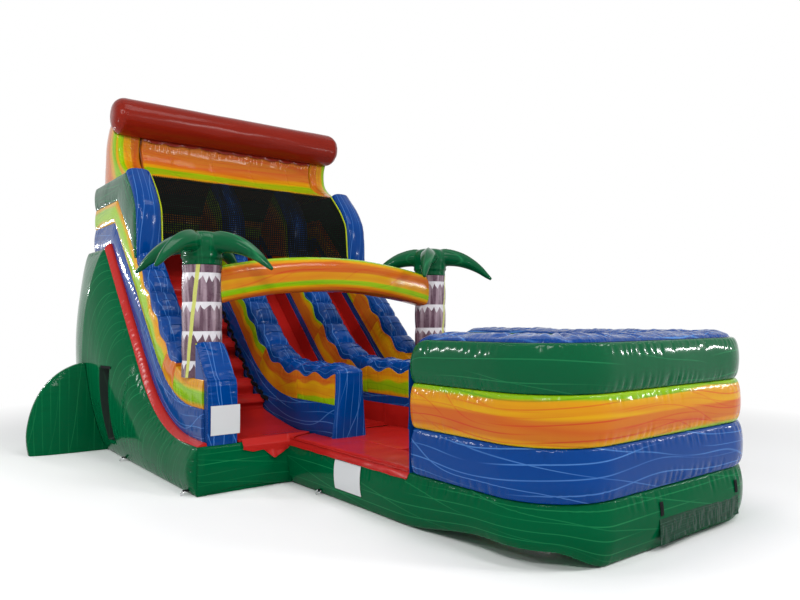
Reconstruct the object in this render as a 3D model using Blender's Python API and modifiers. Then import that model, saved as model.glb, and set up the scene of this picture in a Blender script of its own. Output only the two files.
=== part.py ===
"""Dual-lane inflatable water slide with a splash pool, in metres, +Z up.

The layout below counts y from the slide's front line, back towards the tower.
The empty slide_origin then moves everything so that the middle of the bounding
box stands on the world origin. The left of the slide is at -x.
"""

import math

import bmesh
import bpy
from mathutils import Matrix, Vector

# Clearances
GAP = 0.0003
CUT_OVERRUN = 0.05

# Plan of the slide
OUTER_WALL = 0.308
SIDE_INSET = 0.10
CLIMB_WIDTH = 0.87
LANE_WIDTH = 0.66
DIVIDER = 0.33
BASE_FRONT_BULGE = 0.05
BASE_REAR_INSET = 0.04

# Bed that the riders slide on, seen from the side
BED_Z = 0.48
BED_FLAT = 0.36
BED_RADIUS = 2.0
BED_ANGLE = math.radians(45)
DECK_Z = 2.70
DECK_LENGTH = 0.8516
BED_THICKNESS = 0.03
BED_FLANGE = 0.25
FLANGE_THICKNESS = 0.015

# Coloured bands of the walls, as heights square to the bed
BLUE_TOP = 0.35
MARBLE_TOP = 0.64
TOWER_WALL_HEIGHT = 0.96
DIVIDER_TOP_SINK = 0.07
TOWER_FRONT_Y = 2.30
TOWER_TOP_RUN = 0.48
OUTLINE_SHARES = ((0.03, 0.24), (0.10, 0.52), (0.25, 0.65), (0.46, 0.77), (0.71, 0.88), (1.0, 1.0))
OUTER_FRONT_Y = 0.08
DIVIDER_FRONT_Y = -0.48
OUTER_BULGE = 0.025
LANE_BULGE = 0.015
BAND_BULGE_SHARES = (0.33, 0.67)

# Puffed caps of the walls
PUFF_PITCH = 0.41
PUFF_WAVE = 0.03
SEAM_CROWN = 0.035
PUFF_CROWN = 0.14
TOWER_CROWN = 0.085
DIVIDER_TOWER_CROWN = 0.0675
CAP_FRONT_CROWN = 0.08
CAP_FLARE = 0.04
CAP_FRONT_SHARES = ((0.0, 0.55, 1.0), (0.3, 0.95, 0.5), (0.6, 1.1, 0.2), (0.85, 1.1, 0.0))
CAP_SIDES = 5
CAP_ROUNDNESS = 0.75
CAP_REAR_START_Y = 0.80

# Front guards of the outer walls, before the palm trunks
GUARD_REAR_Y = 0.315
GUARD_TOP_Z = 1.49
GUARD_SLOPE_SHARES = ((0.0, 0.0), (0.14, 0.30), (0.42, 0.68), (0.72, 0.91), (1.0, 1.0))
GUARD_FACE_BULGE = 0.03
GUARD_FACE_SHARES = (0.0, 0.3, 0.6, 0.85)
GUARD_BULGE_SHARES = (0.15, 0.85)
GUARD_EDGE = 0.04
GUARD_SHRINK_SHARE = 0.1
GUARD_EDGE_SHARE = 0.04

# Palms and arch beam
TRUNK_RADIUS = 0.205
TRUNK_Y = 0.53
TRUNK_TOP_Z = 2.292
TRUNK_SIDES = 16
CROWN_RADIUS = 0.22
CROWN_HEIGHT = 0.373
CROWN_PROFILE_SHARES = ((0.0, 1.0), (0.68, 0.94), (0.95, 0.78), (1.05, 0.57), (0.98, 0.36), (1.0, 0.21),
                        (0.93, 0.17), (0.93, 0.0))
FROND_REACH = 0.76
FROND_RADIUS = 0.115
FROND_ROOT_Z = 2.50
FROND_DROP = 0.26
FROND_SHARES = ((0.08, -0.02, 1.0), (0.28, -0.10, 1.0), (0.48, 0.0, 0.86), (0.66, 0.22, 0.68),
                (0.82, 0.52, 0.46), (0.93, 0.80, 0.26), (1.0, 1.0, 0.10))
LEFT_PALM_TURN = math.radians(37)
RIGHT_PALM_TURN = math.radians(45)
BEAM_Z = 2.05
BEAM_RISE = 0.20
BEAM_HEIGHT = 0.41
BEAM_DEPTH = 0.30
BEAM_STEPS = 12
BEAM_SIDES = 12
BEAM_ROUNDNESS = 0.7

# Green side panels and stabiliser fins
SIDE_BULGE = 0.28
SIDE_ROUNDNESS = 0.7
SIDE_SWELL_POWER = 0.8
SIDE_STEPS = 8
SIDE_REAR_SPAN = 1.05
SLOT_FRONT_Y = 2.42
SLOT_WIDTH = 0.34
SLOT_BOTTOM_Z = 0.18
SLOT_TOP_Z = 1.12
SLOT_DEPTH_X = 0.02
TRIM_WIDTH = 0.0997
TRIM_FRONT_HEIGHT = 0.03
TRIM_HEIGHT = 0.10
FIN_SETBACK = 0.2484
FIN_THICKNESS = 0.34
FIN_REACH = 0.95
FIN_HEIGHT = 1.19
FIN_ROOT = 0.05
FIN_POWER = 2.5
FIN_THINNING_SHARE = 0.75
FIN_THINNING_POWER = 4
FIN_RAYS = 10
FIN_RINGS = 4

# Rear of the tower
REAR_BULGE = 0.10
REAR_FLAT = 0.03
REAR_COLUMNS = 4
REAR_COLUMN_STEPS = 3
REAR_STEPS = 6
REAR_PUFF_POWER = 0.7
REAR_END_POWER = 0.5
REAR_WALL_THICKNESS = 0.31
REAR_WALL_BULGE = 0.025
SLEEVE_REACH = 0.50
SLEEVE_RADIUS = 0.16
SLEEVE_WALL = 0.006
SLEEVE_X = 0.95
SLEEVE_Z = 0.30
SLEEVE_SIDES = 24

# Header over the deck
ROLL_RADIUS = 0.255
ROLL_DEPTH_SHARE = 0.352
ROLL_RISE = 0.876
ROLL_OVERHANG = 0.157
ROLL_END = 0.16
ROLL_END_STEPS = 3
ROLL_SIDES = 20
HEADER_REAR_INSET = 0.04
HEADER_INSET = 0.11
HEADER_SIDE = 0.27
HEADER_BACK_SHARES = ((1.0, 0.0), (0.985, 0.18), (0.955, 0.36), (0.90, 0.66), (0.76, 0.88), (0.58, 0.98),
                      (0.42, 1.0))
HEADER_FRONT_SHARES = ((0.40, 0.62), (0.41, 0.42), (0.355, 0.22), (0.21, 0.09), (0.03, 0.0))
HEADER_EDGE = 0.05
HEADER_SHRINK_SHARE = 0.04
FASCIA_THICKNESS = 0.20
HOOD_THICKNESS = 0.14

# Safety net
NET_COLUMNS = 14
NET_STRAND = 0.018
NET_THICKNESS = 0.004
NET_FOOT_SHARE = 0.3

# Splash pool
POOL_LEFT_X = -0.833
POOL_CORNER = 0.55
POOL_CORNER_STEPS = 6
POOL_FRONT_STEPS = 3
POOL_SIDE_STEPS = 3
POOL_WALL = 0.40
POOL_BULGE = 0.055
POOL_OVERHANG = 0.03
POOL_LEAN = 0.06
POOL_LEAN_SHARES = (1.0, 0.65, 0.35, 0.0)
POOL_INNER_BULGE = 0.04
POOL_WALL_START_Y = -2.10
POOL_SIDE_LENGTH = 1.50
POOL_END_ROUND = 0.10
POOL_END_RUN = 0.09
POOL_SIDE_END_Y = -0.13
POOL_BASE_Z = 0.46
POOL_BLUE_Z = 0.834
POOL_ORANGE_Z = 1.197
POOL_GREEN_Z = 1.55
POOL_BASE_WALL = 0.42
POOL_BASE_BULGE = 0.04
POOL_BASE_UNDERCUT = 0.06
POOL_CAP_INSET = 0.02
POOL_CAP_CROWN = 0.06
POOL_CAP_SHOULDER_SHARE = 0.7
POOL_FLOOR_THICKNESS = 0.08
LANDING_LENGTH = 1.25

# Flaps, straps and handles
ENTRY_FLAP_LEFT_X = -1.375
ENTRY_FLAP_WIDTH = 0.77
ENTRY_FLAP_DROP = 0.23
ENTRY_FLAP_THICKNESS = 0.005
ENTRY_FLAP_LEAN = math.atan(0.3)
ENTRY_FLAP_SHARES = ((0.0, 0.0), (0.14, 0.60), (0.29, 0.54), (0.43, 1.0), (0.58, 0.76), (0.64, 0.62),
                     (0.655, 0.07), (1.0, 0.05), (1.0, 0.0))
PORT_FLAP_LEFT_X = 0.24
PORT_FLAP_WIDTH = 1.16
PORT_FLAP_TOP_Z = 0.24
PORT_FLAP_DROP = 0.19
PORT_FLAP_THICKNESS = 0.005
PORT_FLAP_SHARES = ((0.0, 0.0), (0.05, 1.0), (0.22, 0.93), (0.5, 0.86), (0.80, 0.90), (1.0, 0.82), (1.0, 0.0))
PORT_STRAP_WIDTH = 0.04
PORT_STRAP_THICKNESS = 0.003
PORT_STRAP_TOP_Z = 0.305
PORT_STRAP_INSET = 0.03
HANDLE_PITCH = 0.17
HANDLE_LOOPS = 12
HANDLE_START = 1.05
HANDLE_LOW_SHARE = 0.44
HANDLE_WIDTH = 0.05
HANDLE_THICKNESS = 0.004
HANDLE_STAND_OFF = 0.035
HANDLE_SHARES = ((0.0, 0.0), (0.28, 0.0), (0.46, 1.0), (0.80, 1.0))
STEP_HEIGHT = 0.11
STEP_PITCH = 0.36
STEP_COUNT = 7
STEP_START = 1.10
STEP_SHARES = ((0.0, 0.0), (0.10, 0.75), (0.28, 1.0), (0.55, 0.9), (0.78, 0.35))

# Anchor points with D-rings
ANCHOR_WEB = 0.003
ANCHOR_WIDTH = 0.04
ANCHOR_REACH = 0.072
ANCHOR_Z = 0.040
ANCHOR_ROOT = 0.03
ANCHOR_EYE = 0.0046
RING_WIRE = 0.004
RING_WIDTH = 0.060
RING_DEPTH = 0.048
RING_LIFT = 0.0006
RING_SHARES = ((0.0, -1.0), (0.0, 1.0), (0.45, 0.98), (0.85, 0.6), (1.0, 0.0), (0.85, -0.6), (0.45, -0.98))
SIDE_ANCHOR_YS = (0.16, 2.234)
POOL_ANCHOR_Y = -0.641

# Places worked out from the sizes above
SLIDE_WIDTH = 2 * (SIDE_INSET + OUTER_WALL + LANE_WIDTH + DIVIDER) + CLIMB_WIDTH
HALF_WIDTH = SLIDE_WIDTH / 2
WALL_TOP_Z = DECK_Z + TOWER_WALL_HEIGHT
TOWER_TOP_Y = TOWER_FRONT_Y + TOWER_TOP_RUN
ROLL_Z = WALL_TOP_Z + ROLL_RISE
WALL_OUT_X = HALF_WIDTH - SIDE_INSET
WALL_IN_X = WALL_OUT_X - OUTER_WALL
LANE_TWO_X = WALL_IN_X - LANE_WIDTH
DIVIDER_TWO_X = LANE_TWO_X - DIVIDER
LANE_ONE_X = DIVIDER_TWO_X - LANE_WIDTH
DIVIDER_ONE_X = LANE_ONE_X - DIVIDER
TRUNK_X = (WALL_OUT_X + WALL_IN_X) / 2
POOL_RIGHT_X = HALF_WIDTH + POOL_OVERHANG
HEADER_OUT_X = WALL_OUT_X - HEADER_INSET
HEADER_IN_X = HEADER_OUT_X - HEADER_SIDE
ROLL_LENGTH = 2 * (HEADER_OUT_X + ROLL_OVERHANG)
POOL_FRONT_Y = POOL_WALL_START_Y - POOL_SIDE_LENGTH
SLOPE = Vector((math.cos(BED_ANGLE), math.sin(BED_ANGLE)))
SLOPE_UP = Vector((-math.sin(BED_ANGLE), math.cos(BED_ANGLE)))
ARC_CENTRE = Vector((BED_FLAT, BED_Z + BED_RADIUS))
ARC_END = ARC_CENTRE - SLOPE_UP * BED_RADIUS
DECK_EDGE = ARC_END + SLOPE * ((DECK_Z - ARC_END.y) / math.sin(BED_ANGLE))
DECK_CORNER_UP = (SLOPE_UP + Vector((0, 1))) / (1 + SLOPE_UP.y)
TOWER_FOOT_RUN = (TOWER_FRONT_Y + MARBLE_TOP * math.sin(BED_ANGLE) - ARC_END.x) / math.cos(BED_ANGLE)
SLOPE_RUN = (DECK_EDGE - ARC_END).length
SLIDE_DEPTH = DECK_EDGE.x + DECK_LENGTH
BASE_DEPTH = SLIDE_DEPTH - BASE_REAR_INSET
FIN_FRONT_Y = DECK_EDGE.x - FIN_SETBACK
REAR_PANEL_Y = SLIDE_DEPTH + GAP
REAR_REACH = SLIDE_DEPTH + SLEEVE_REACH
HEADER_REAR_Y = SLIDE_DEPTH - HEADER_REAR_INSET
ROLL_Y = TOWER_TOP_Y + (HEADER_REAR_Y - TOWER_TOP_Y) * ROLL_DEPTH_SHARE
SHIFT_Y = (POOL_BULGE - POOL_FRONT_Y - REAR_REACH) / 2

FRONT_STEPS = 8
OUTER_FRONT_STEPS = 2
ARC_STEPS = 12
SLOPE_STEPS = 12
TOWER_STEPS = 6
DECK_STEPS = 2

COLOURS = {
    "green": ((0.0, 0.10, 0.035), 0.22),
    "blue": ((0.002, 0.05, 0.32), 0.2),
    "marble": ((0.62, 0.38, 0.015), 0.22),
    "orange": ((0.68, 0.22, 0.02), 0.22),
    "red": ((0.50, 0.012, 0.014), 0.3),
    "trunk": ((0.12, 0.06, 0.08), 0.3),
    "black": ((0.01, 0.01, 0.011), 0.75),
    "steel": ((0.6, 0.6, 0.62), 0.3),
    "net": ((0.012, 0.014, 0.012), 0.8),
}


def clear_scene():
    for thing in list(bpy.data.objects):
        bpy.data.objects.remove(thing, do_unlink=True)


def new_collection(name):
    collection = bpy.data.collections.new(name)
    bpy.context.scene.collection.children.link(collection)
    return collection


def make_material(name):
    colour, roughness = COLOURS[name]
    material = bpy.data.materials.new(name)
    material.use_nodes = True
    shader = material.node_tree.nodes["Principled BSDF"]
    shader.inputs["Base Color"].default_value = (*colour, 1.0)
    shader.inputs["Roughness"].default_value = roughness
    shader.inputs["Metallic"].default_value = 1.0 if name == "steel" else 0.0
    return material


clear_scene()
PARTS = new_collection("inflatable_water_slide")
CUTTERS = new_collection("cutters")
MATERIALS = {name: make_material(name) for name in COLOURS}
ORIGIN = bpy.data.objects.new("slide_origin", None)
ORIGIN.location = (0, SHIFT_Y, 0)
PARTS.objects.link(ORIGIN)


def add_object(name, data, colour=None, at=(0, 0, 0)):
    """A part in its colour, or a cutter when no colour is given."""
    thing = bpy.data.objects.new(name, data)
    (PARTS if colour else CUTTERS).objects.link(thing)
    thing.parent = ORIGIN
    thing.location = at
    if colour:
        data.materials.append(MATERIALS[colour])
    else:
        thing.hide_render = True
        thing.display_type = "WIRE"
    return thing


def mesh_object(name, shape, colour=None, at=(0, 0, 0)):
    bmesh.ops.recalc_face_normals(shape, faces=shape.faces)
    mesh = bpy.data.meshes.new(name)
    shape.to_mesh(mesh)
    shape.free()
    mesh.shade_smooth()
    mesh.set_sharp_from_angle(angle=math.radians(40))
    return add_object(name, mesh, colour, at)


def skin(name, rings, colour=None, at=(0, 0, 0), split=False):
    """A loft through rings of equally many points, with flat ends; split makes its faces triangles."""
    shape = bmesh.new()
    rows = [[shape.verts.new(point) for point in ring] for ring in rings]
    for near, far in zip(rows, rows[1:]):
        for i, corner in enumerate(near):
            j = (i + 1) % len(near)
            shape.faces.new((corner, near[j], far[j], far[i]))
    if split:
        bmesh.ops.triangulate(shape, faces=list(shape.faces), quad_method="FIXED")
    shape.faces.new(rows[0])
    shape.faces.new(rows[-1])
    return mesh_object(name, shape, colour, at)


def curve_to_mesh(name, curve_object, colour=None, at=(0, 0, 0)):
    """The welded mesh of a curve, which is then removed."""
    bpy.context.view_layer.update()
    graph = bpy.context.evaluated_depsgraph_get()
    mesh = bpy.data.meshes.new_from_object(curve_object.evaluated_get(graph))
    shape = bmesh.new()
    shape.from_mesh(mesh)
    bmesh.ops.remove_doubles(shape, verts=shape.verts, dist=GAP / 10)
    shape.transform(curve_object.matrix_basis)
    bpy.data.objects.remove(curve_object)
    bpy.data.meshes.remove(mesh)
    return mesh_object(name, shape, colour, at)


def flat_outline(name, points, low, high, across="x", colour=None, at=(0, 0, 0)):
    """A filled outline: (y, z) points swept along x, or (x, y) points swept along z."""
    curve = bpy.data.curves.new(name + "_outline", "CURVE")
    curve.dimensions = "2D"
    curve.fill_mode = "BOTH"
    curve.extrude = (high - low) / 2
    spline = curve.splines.new("POLY")
    spline.points.add(len(points) - 1)
    for knot, point in zip(spline.points, points):
        knot.co = (*point, 0, 1)
    spline.use_cyclic_u = True
    flat = bpy.data.objects.new(name + "_outline", curve)
    CUTTERS.objects.link(flat)
    middle = (high + low) / 2
    if across == "x":
        flat.matrix_basis = Matrix(((0, 0, 1, middle), (1, 0, 0, 0), (0, 1, 0, 0), (0, 0, 0, 1)))
    else:
        flat.matrix_basis = Matrix.Translation((0, 0, middle))
    return curve_to_mesh(name, flat, colour, at)


def combine(target, other, operation):
    step = target.modifiers.new(other.name, "BOOLEAN")
    step.operation = operation
    step.object = other
    step.solver = "EXACT"


def box_shape(low, high):
    shape = bmesh.new()
    bmesh.ops.create_cube(shape, size=1)
    size = Vector(high) - Vector(low)
    bmesh.ops.scale(shape, vec=size, verts=shape.verts)
    bmesh.ops.translate(shape, vec=(Vector(low) + Vector(high)) / 2, verts=shape.verts)
    return shape


def bed_stations(front_y, front_steps):
    """Points (y, z) along the bed, each with the direction square to it."""
    stations = []
    for step in range(front_steps):
        y = front_y + (BED_FLAT - front_y) * step / front_steps
        stations.append((Vector((y, BED_Z)), Vector((0, 1))))
    for step in range(ARC_STEPS):
        turn = BED_ANGLE * step / ARC_STEPS
        up = Vector((-math.sin(turn), math.cos(turn)))
        stations.append((ARC_CENTRE - up * BED_RADIUS, up))
    for step in range(SLOPE_STEPS):
        run = TOWER_FOOT_RUN * step / SLOPE_STEPS
        stations.append((ARC_END + SLOPE * run, SLOPE_UP))
    for step in range(TOWER_STEPS):
        run = TOWER_FOOT_RUN + (SLOPE_RUN - TOWER_FOOT_RUN) * step / TOWER_STEPS
        stations.append((ARC_END + SLOPE * run, SLOPE_UP))
    for step in range(DECK_STEPS + 1):
        y = DECK_EDGE.x + (SLIDE_DEPTH - DECK_EDGE.x) * step / DECK_STEPS
        stations.append((Vector((y, DECK_Z)), DECK_CORNER_UP if step == 0 else Vector((0, 1))))
    return stations


def offset_line(stations, height):
    return [point + up * height for point, up in stations]


def straightened(line):
    """The line with each odd point laid on the chord of its neighbours."""
    line = list(line)
    for i in range(1, len(line) - 1, 2):
        line[i] = (line[i - 1] + line[i + 1]) / 2
    return line


def bed_height(y):
    """Height of the bed or deck at one y."""
    if y <= BED_FLAT:
        return BED_Z
    if y <= ARC_END.x:
        return BED_Z + BED_RADIUS - math.sqrt(BED_RADIUS ** 2 - (y - BED_FLAT) ** 2)
    return min(DECK_Z, ARC_END.y + (y - ARC_END.x) * math.tan(BED_ANGLE))


OUTER = bed_stations(OUTER_FRONT_Y, OUTER_FRONT_STEPS)
MIDDLE = bed_stations(DIVIDER_FRONT_Y, FRONT_STEPS)
OUTER_TOWER = OUTER_FRONT_STEPS + ARC_STEPS + SLOPE_STEPS
MIDDLE_TOWER = FRONT_STEPS + ARC_STEPS + SLOPE_STEPS


def puff(length):
    """Zero at a sewn seam across the cap, and one in the middle of a puff."""
    return abs(math.sin(math.pi * length / PUFF_PITCH))


def wavy_top(stations, tower, start_y):
    """The marble band's upper edge up to the tower, and each point's puff."""
    line, puffs = [], []
    length = 0.0
    last = None
    for point, up in stations[:tower + 1]:
        level = point + up * MARBLE_TOP
        if level.x < start_y:
            line.append(level)
            puffs.append(0.0)
            continue
        length += (level - last).length if last else 0.0
        last = level
        swell = puff(length)
        at_tower = point == stations[tower][0]
        wave = 0.0 if at_tower else PUFF_WAVE * (1 - 2 * swell)
        line.append(level + up * wave)
        puffs.append(swell)
    return line, puffs


def tower_outline(start, sink):
    """The tower's curved front edge, from the top of the slope up to its top."""
    rise = Vector((TOWER_TOP_Y, WALL_TOP_Z)) - start
    points = [start + Vector((rise.x * a, rise.y * b)) for a, b in OUTLINE_SHARES]
    if not sink:
        return points
    ups = line_normals([start] + points)[1:]
    return [point - up * sink for point, up in zip(points, ups)]


def line_normals(line):
    """For each point of a (y, z) line, the direction square to it, up and forward."""
    normals = []
    for i, point in enumerate(line):
        before = line[max(i - 1, 0)]
        after = line[min(i + 1, len(line) - 1)]
        along = (after - before).normalized()
        normals.append(Vector((-along.y, along.x)))
    return normals


def band_ring(low, high, left, right, bulge_left, bulge_right):
    """One cross-section of a band: flat top and bottom, sides that swell."""
    ring = [(left, *low), (right, *low)]
    ring += [(right + bulge_right, *low.lerp(high, share)) for share in BAND_BULGE_SHARES]
    ring += [(right, *high), (left, *high)]
    ring += [(left - bulge_left, *low.lerp(high, share)) for share in reversed(BAND_BULGE_SHARES)]
    return ring


def band(name, lows, highs, left, right, bulge_left, bulge_right, colour):
    ups = [(high - low).normalized() for low, high in zip(lows, highs)]
    rings = [
        band_ring(low + up * GAP, high - up * GAP, left, right, bulge_left, bulge_right)
        for low, high, up in zip(lows, highs, ups)
    ]
    return skin(name, rings, colour)


def cap_swell(side):
    """Share of its height that a cap's cross-section has at one of its corners."""
    return math.sin(math.pi * side / CAP_SIDES) ** CAP_ROUNDNESS if 0 < side < CAP_SIDES else 0.0


def cap_ring(foot, up, height, left, right):
    """Half-round cross-section of a puffed cap."""
    middle, half = (left + right) / 2, (right - left) / 2
    ring = []
    for side in range(CAP_SIDES + 1):
        turn = math.pi * side / CAP_SIDES
        across = math.copysign(abs(math.cos(turn)) ** CAP_ROUNDNESS, math.cos(turn))
        ring.append((middle + half * across, *(foot + up * height * cap_swell(side))))
    return ring


def cap(name, line, crowns, left, right, front_y=None):
    """A puffed cap over a wall, which also covers its front end if front_y is given."""
    ups = line_normals(line)
    rings = []
    if front_y is not None:
        top = line[0].y + GAP
        for share, crown, flare in CAP_FRONT_SHARES:
            foot = Vector((front_y - GAP, BED_Z + GAP + (top - BED_Z) * share))
            grow = CAP_FLARE * flare
            rings.append(cap_ring(foot, Vector((-1, 0)), CAP_FRONT_CROWN * crown, left - grow, right + grow))
        corner = Vector((front_y - GAP, top))
        rings.append(cap_ring(corner, Vector((-1, 1)).normalized(), CAP_FRONT_CROWN, left, right))
        line, ups, crowns = line[1:], ups[1:], crowns[1:]
    for point, up, crown in zip(line, ups, crowns):
        rings.append(cap_ring(point + up * GAP, up, crown, left, right))
    return skin(name, rings, "blue")


def cap_crowns(puffs, tower_crown, tower_points):
    crowns = [SEAM_CROWN + (PUFF_CROWN - SEAM_CROWN) * swell for swell in puffs[:-1]]
    return crowns + [SEAM_CROWN] + [tower_crown] * tower_points


def mirrored(points, side):
    return [(side * x, y, z) for x, y, z in points]


def build_base():
    front = [(0, 0), (-BASE_FRONT_BULGE, BED_Z / 3), (-BASE_FRONT_BULGE, BED_Z * 2 / 3), (0, BED_Z)]
    arc = [tuple(point) for point, up in OUTER[OUTER_FRONT_STEPS:OUTER_FRONT_STEPS + ARC_STEPS + 1:2]]
    outline = front + arc + [tuple(DECK_EDGE), (BASE_DEPTH, DECK_Z), (BASE_DEPTH, 0)]
    return flat_outline("slide_base", outline, -WALL_OUT_X, WALL_OUT_X, colour="green")


def panel_bulge(y):
    """How far a green side panel swells out at one y."""
    swell = SIDE_BULGE * (bed_height(y) / DECK_Z) ** SIDE_SWELL_POWER
    past = max(0.0, y - DECK_EDGE.x) / SIDE_REAR_SPAN
    return swell * math.sqrt(1 - past ** 2)


def panel_ring(y, side, grow):
    """Cross-section of a side panel; grow makes the cutter that leaves a clearance."""
    top = bed_height(y)
    inner = WALL_OUT_X + GAP
    ring = [(side * inner, y, 0), (side * inner, y, top - GAP)]
    for step in range(SIDE_STEPS + 1):
        share = step / SIDE_STEPS
        swell = math.sin(math.pi * share) ** SIDE_ROUNDNESS if 0 < step < SIDE_STEPS else 0.0
        reach = HALF_WIDTH + panel_bulge(y) * swell + grow
        ring.append((side * reach, y, (top - GAP) * (1 - share)))
    return ring


def panel_stations():
    ys = [0.0]
    ys += [point.x for point, up in OUTER[OUTER_FRONT_STEPS::2] if point.x < SLIDE_DEPTH]
    middle = (ys[-1] + SLIDE_DEPTH) / 2
    return ys + [middle, SLIDE_DEPTH]


def anchor_tab(name, x, y, side):
    """A webbing loop round a D-ring's bar; its open end is fused into the vinyl."""
    outer = ANCHOR_EYE + ANCHOR_WEB
    turns = [math.pi / 2 - math.pi * step / 6 for step in range(7)]
    bend = [(ANCHOR_REACH + outer * math.cos(turn), ANCHOR_Z + outer * math.sin(turn)) for turn in turns]
    inside = [(ANCHOR_REACH + ANCHOR_EYE * math.cos(turn), ANCHOR_Z + ANCHOR_EYE * math.sin(turn))
              for turn in reversed(turns)]
    root = -ANCHOR_ROOT
    outline = [(root, ANCHOR_Z + outer)] + bend + [(root, ANCHOR_Z - outer)]
    outline += [(root, ANCHOR_Z - ANCHOR_EYE)] + inside + [(root, ANCHOR_Z + ANCHOR_EYE)]
    shape = bmesh.new()
    corners = [shape.verts.new((x + side * reach, y - ANCHOR_WIDTH / 2, z)) for reach, z in outline]
    face = shape.faces.new(corners)
    swept = bmesh.ops.extrude_face_region(shape, geom=[face])
    moved = [item for item in swept["geom"] if isinstance(item, bmesh.types.BMVert)]
    bmesh.ops.translate(shape, vec=(0, ANCHOR_WIDTH, 0), verts=moved)
    return mesh_object(name, shape)


def anchor_ring(name, x, y, side):
    """A D-ring whose origin is on its bar; it lies on the ground, hinged at the bar."""
    tilt = math.asin((ANCHOR_Z - RING_WIRE - RING_LIFT) / RING_DEPTH)
    half = RING_WIDTH / 2
    flat = [(RING_DEPTH * out, half * along) for out, along in RING_SHARES]
    curve = bpy.data.curves.new(name, "CURVE")
    curve.dimensions = "3D"
    curve.bevel_depth = RING_WIRE
    curve.bevel_resolution = 2
    spline = curve.splines.new("POLY")
    spline.points.add(len(flat) - 1)
    for knot, (out, along) in zip(spline.points, flat):
        knot.co = (side * out * math.cos(tilt), along, -out * math.sin(tilt), 1)
    spline.use_cyclic_u = True
    return add_object(name, curve, "steel", (x + side * ANCHOR_REACH, y, ANCHOR_Z))


def build_side(side, label):
    rings = [panel_ring(y, side, 0.0) for y in panel_stations()]
    panel = skin("side_panel_" + label, rings, "green", split=True)
    if side < 0:
        low = (-HALF_WIDTH - SIDE_BULGE - CUT_OVERRUN, SLOT_FRONT_Y, SLOT_BOTTOM_Z)
        high = (-HALF_WIDTH + SLOT_DEPTH_X, SLOT_FRONT_Y + SLOT_WIDTH, SLOT_TOP_Z)
        combine(panel, mesh_object("slot_cutter", box_shape(low, high)), "DIFFERENCE")
    for place, y in zip(("front", "rear"), SIDE_ANCHOR_YS):
        name = f"{place}_anchor_{label}"
        combine(panel, anchor_tab(name + "_tab", side * HALF_WIDTH, y, side), "UNION")
        anchor_ring(name + "_ring", side * HALF_WIDTH, y, side)
    build_trim(side, label)
    build_fin(side, label)
    return panel


def build_trim(side, label):
    """Red edge of the bed, laid over the side panel's upper edge."""
    stations = lane_stations()
    rings = []
    for i, (point, up) in enumerate(stations):
        height = TRIM_FRONT_HEIGHT + (TRIM_HEIGHT - TRIM_FRONT_HEIGHT) * min(1, 2 * i / len(stations))
        inner, outer = HALF_WIDTH - TRIM_WIDTH, HALF_WIDTH
        low, high = point + up * GAP, point + up * height
        swell = OUTER_BULGE * height / (BAND_BULGE_SHARES[0] * BLUE_TOP) + GAP
        crest = inner + swell + TRIM_WIDTH / 4
        ring = [(inner, *low), (outer, *low), (crest, *high), (inner + swell, *high)]
        rings.append(mirrored(ring, side))
    return skin("bed_edge_" + label, rings, "red")


def build_fin(side, label):
    shape = bmesh.new()
    middle_y = FIN_FRONT_Y + FIN_THICKNESS / 2
    root, reach = HALF_WIDTH - FIN_ROOT, FIN_REACH + FIN_ROOT
    hubs = [shape.verts.new((side * root, middle_y + face * FIN_THICKNESS / 2, 0)) for face in (-1, 1)]
    grids = []
    for face, hub in zip((-1, 1), hubs):
        grid = []
        for ray in range(FIN_RAYS + 1):
            turn = math.pi / 2 * ray / FIN_RAYS
            out = reach * max(math.cos(turn), 0.0) ** (2 / FIN_POWER) if ray < FIN_RAYS else 0.0
            high = FIN_HEIGHT * math.sin(turn) ** (2 / FIN_POWER)
            row = [hub]
            for ring in range(1, FIN_RINGS + 1):
                share = ring / FIN_RINGS
                half = FIN_THICKNESS / 2 * math.sqrt(1 - FIN_THINNING_SHARE * share ** FIN_THINNING_POWER)
                place = (side * (root + out * share), middle_y + face * half, high * share)
                row.append(shape.verts.new(place))
            grid.append(row)
        for near, far in zip(grid, grid[1:]):
            shape.faces.new((hub, near[1], far[1]))
            for i in range(1, FIN_RINGS):
                shape.faces.new((near[i], near[i + 1], far[i + 1], far[i]))
        grids.append(grid)
    front, back = grids
    for near, far, near_back, far_back in zip(front, front[1:], back, back[1:]):
        shape.faces.new((near[-1], far[-1], far_back[-1], near_back[-1]))
    for edge in (0, -1):
        for i in range(FIN_RINGS):
            shape.faces.new((front[edge][i], front[edge][i + 1], back[edge][i + 1], back[edge][i]))
    fin = mesh_object("fin_" + label, shape, "green")
    cutter = skin("fin_seat_" + label, [panel_ring(y, side, GAP) for y in panel_stations()], split=True)
    combine(fin, cutter, "DIFFERENCE")
    return fin


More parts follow.
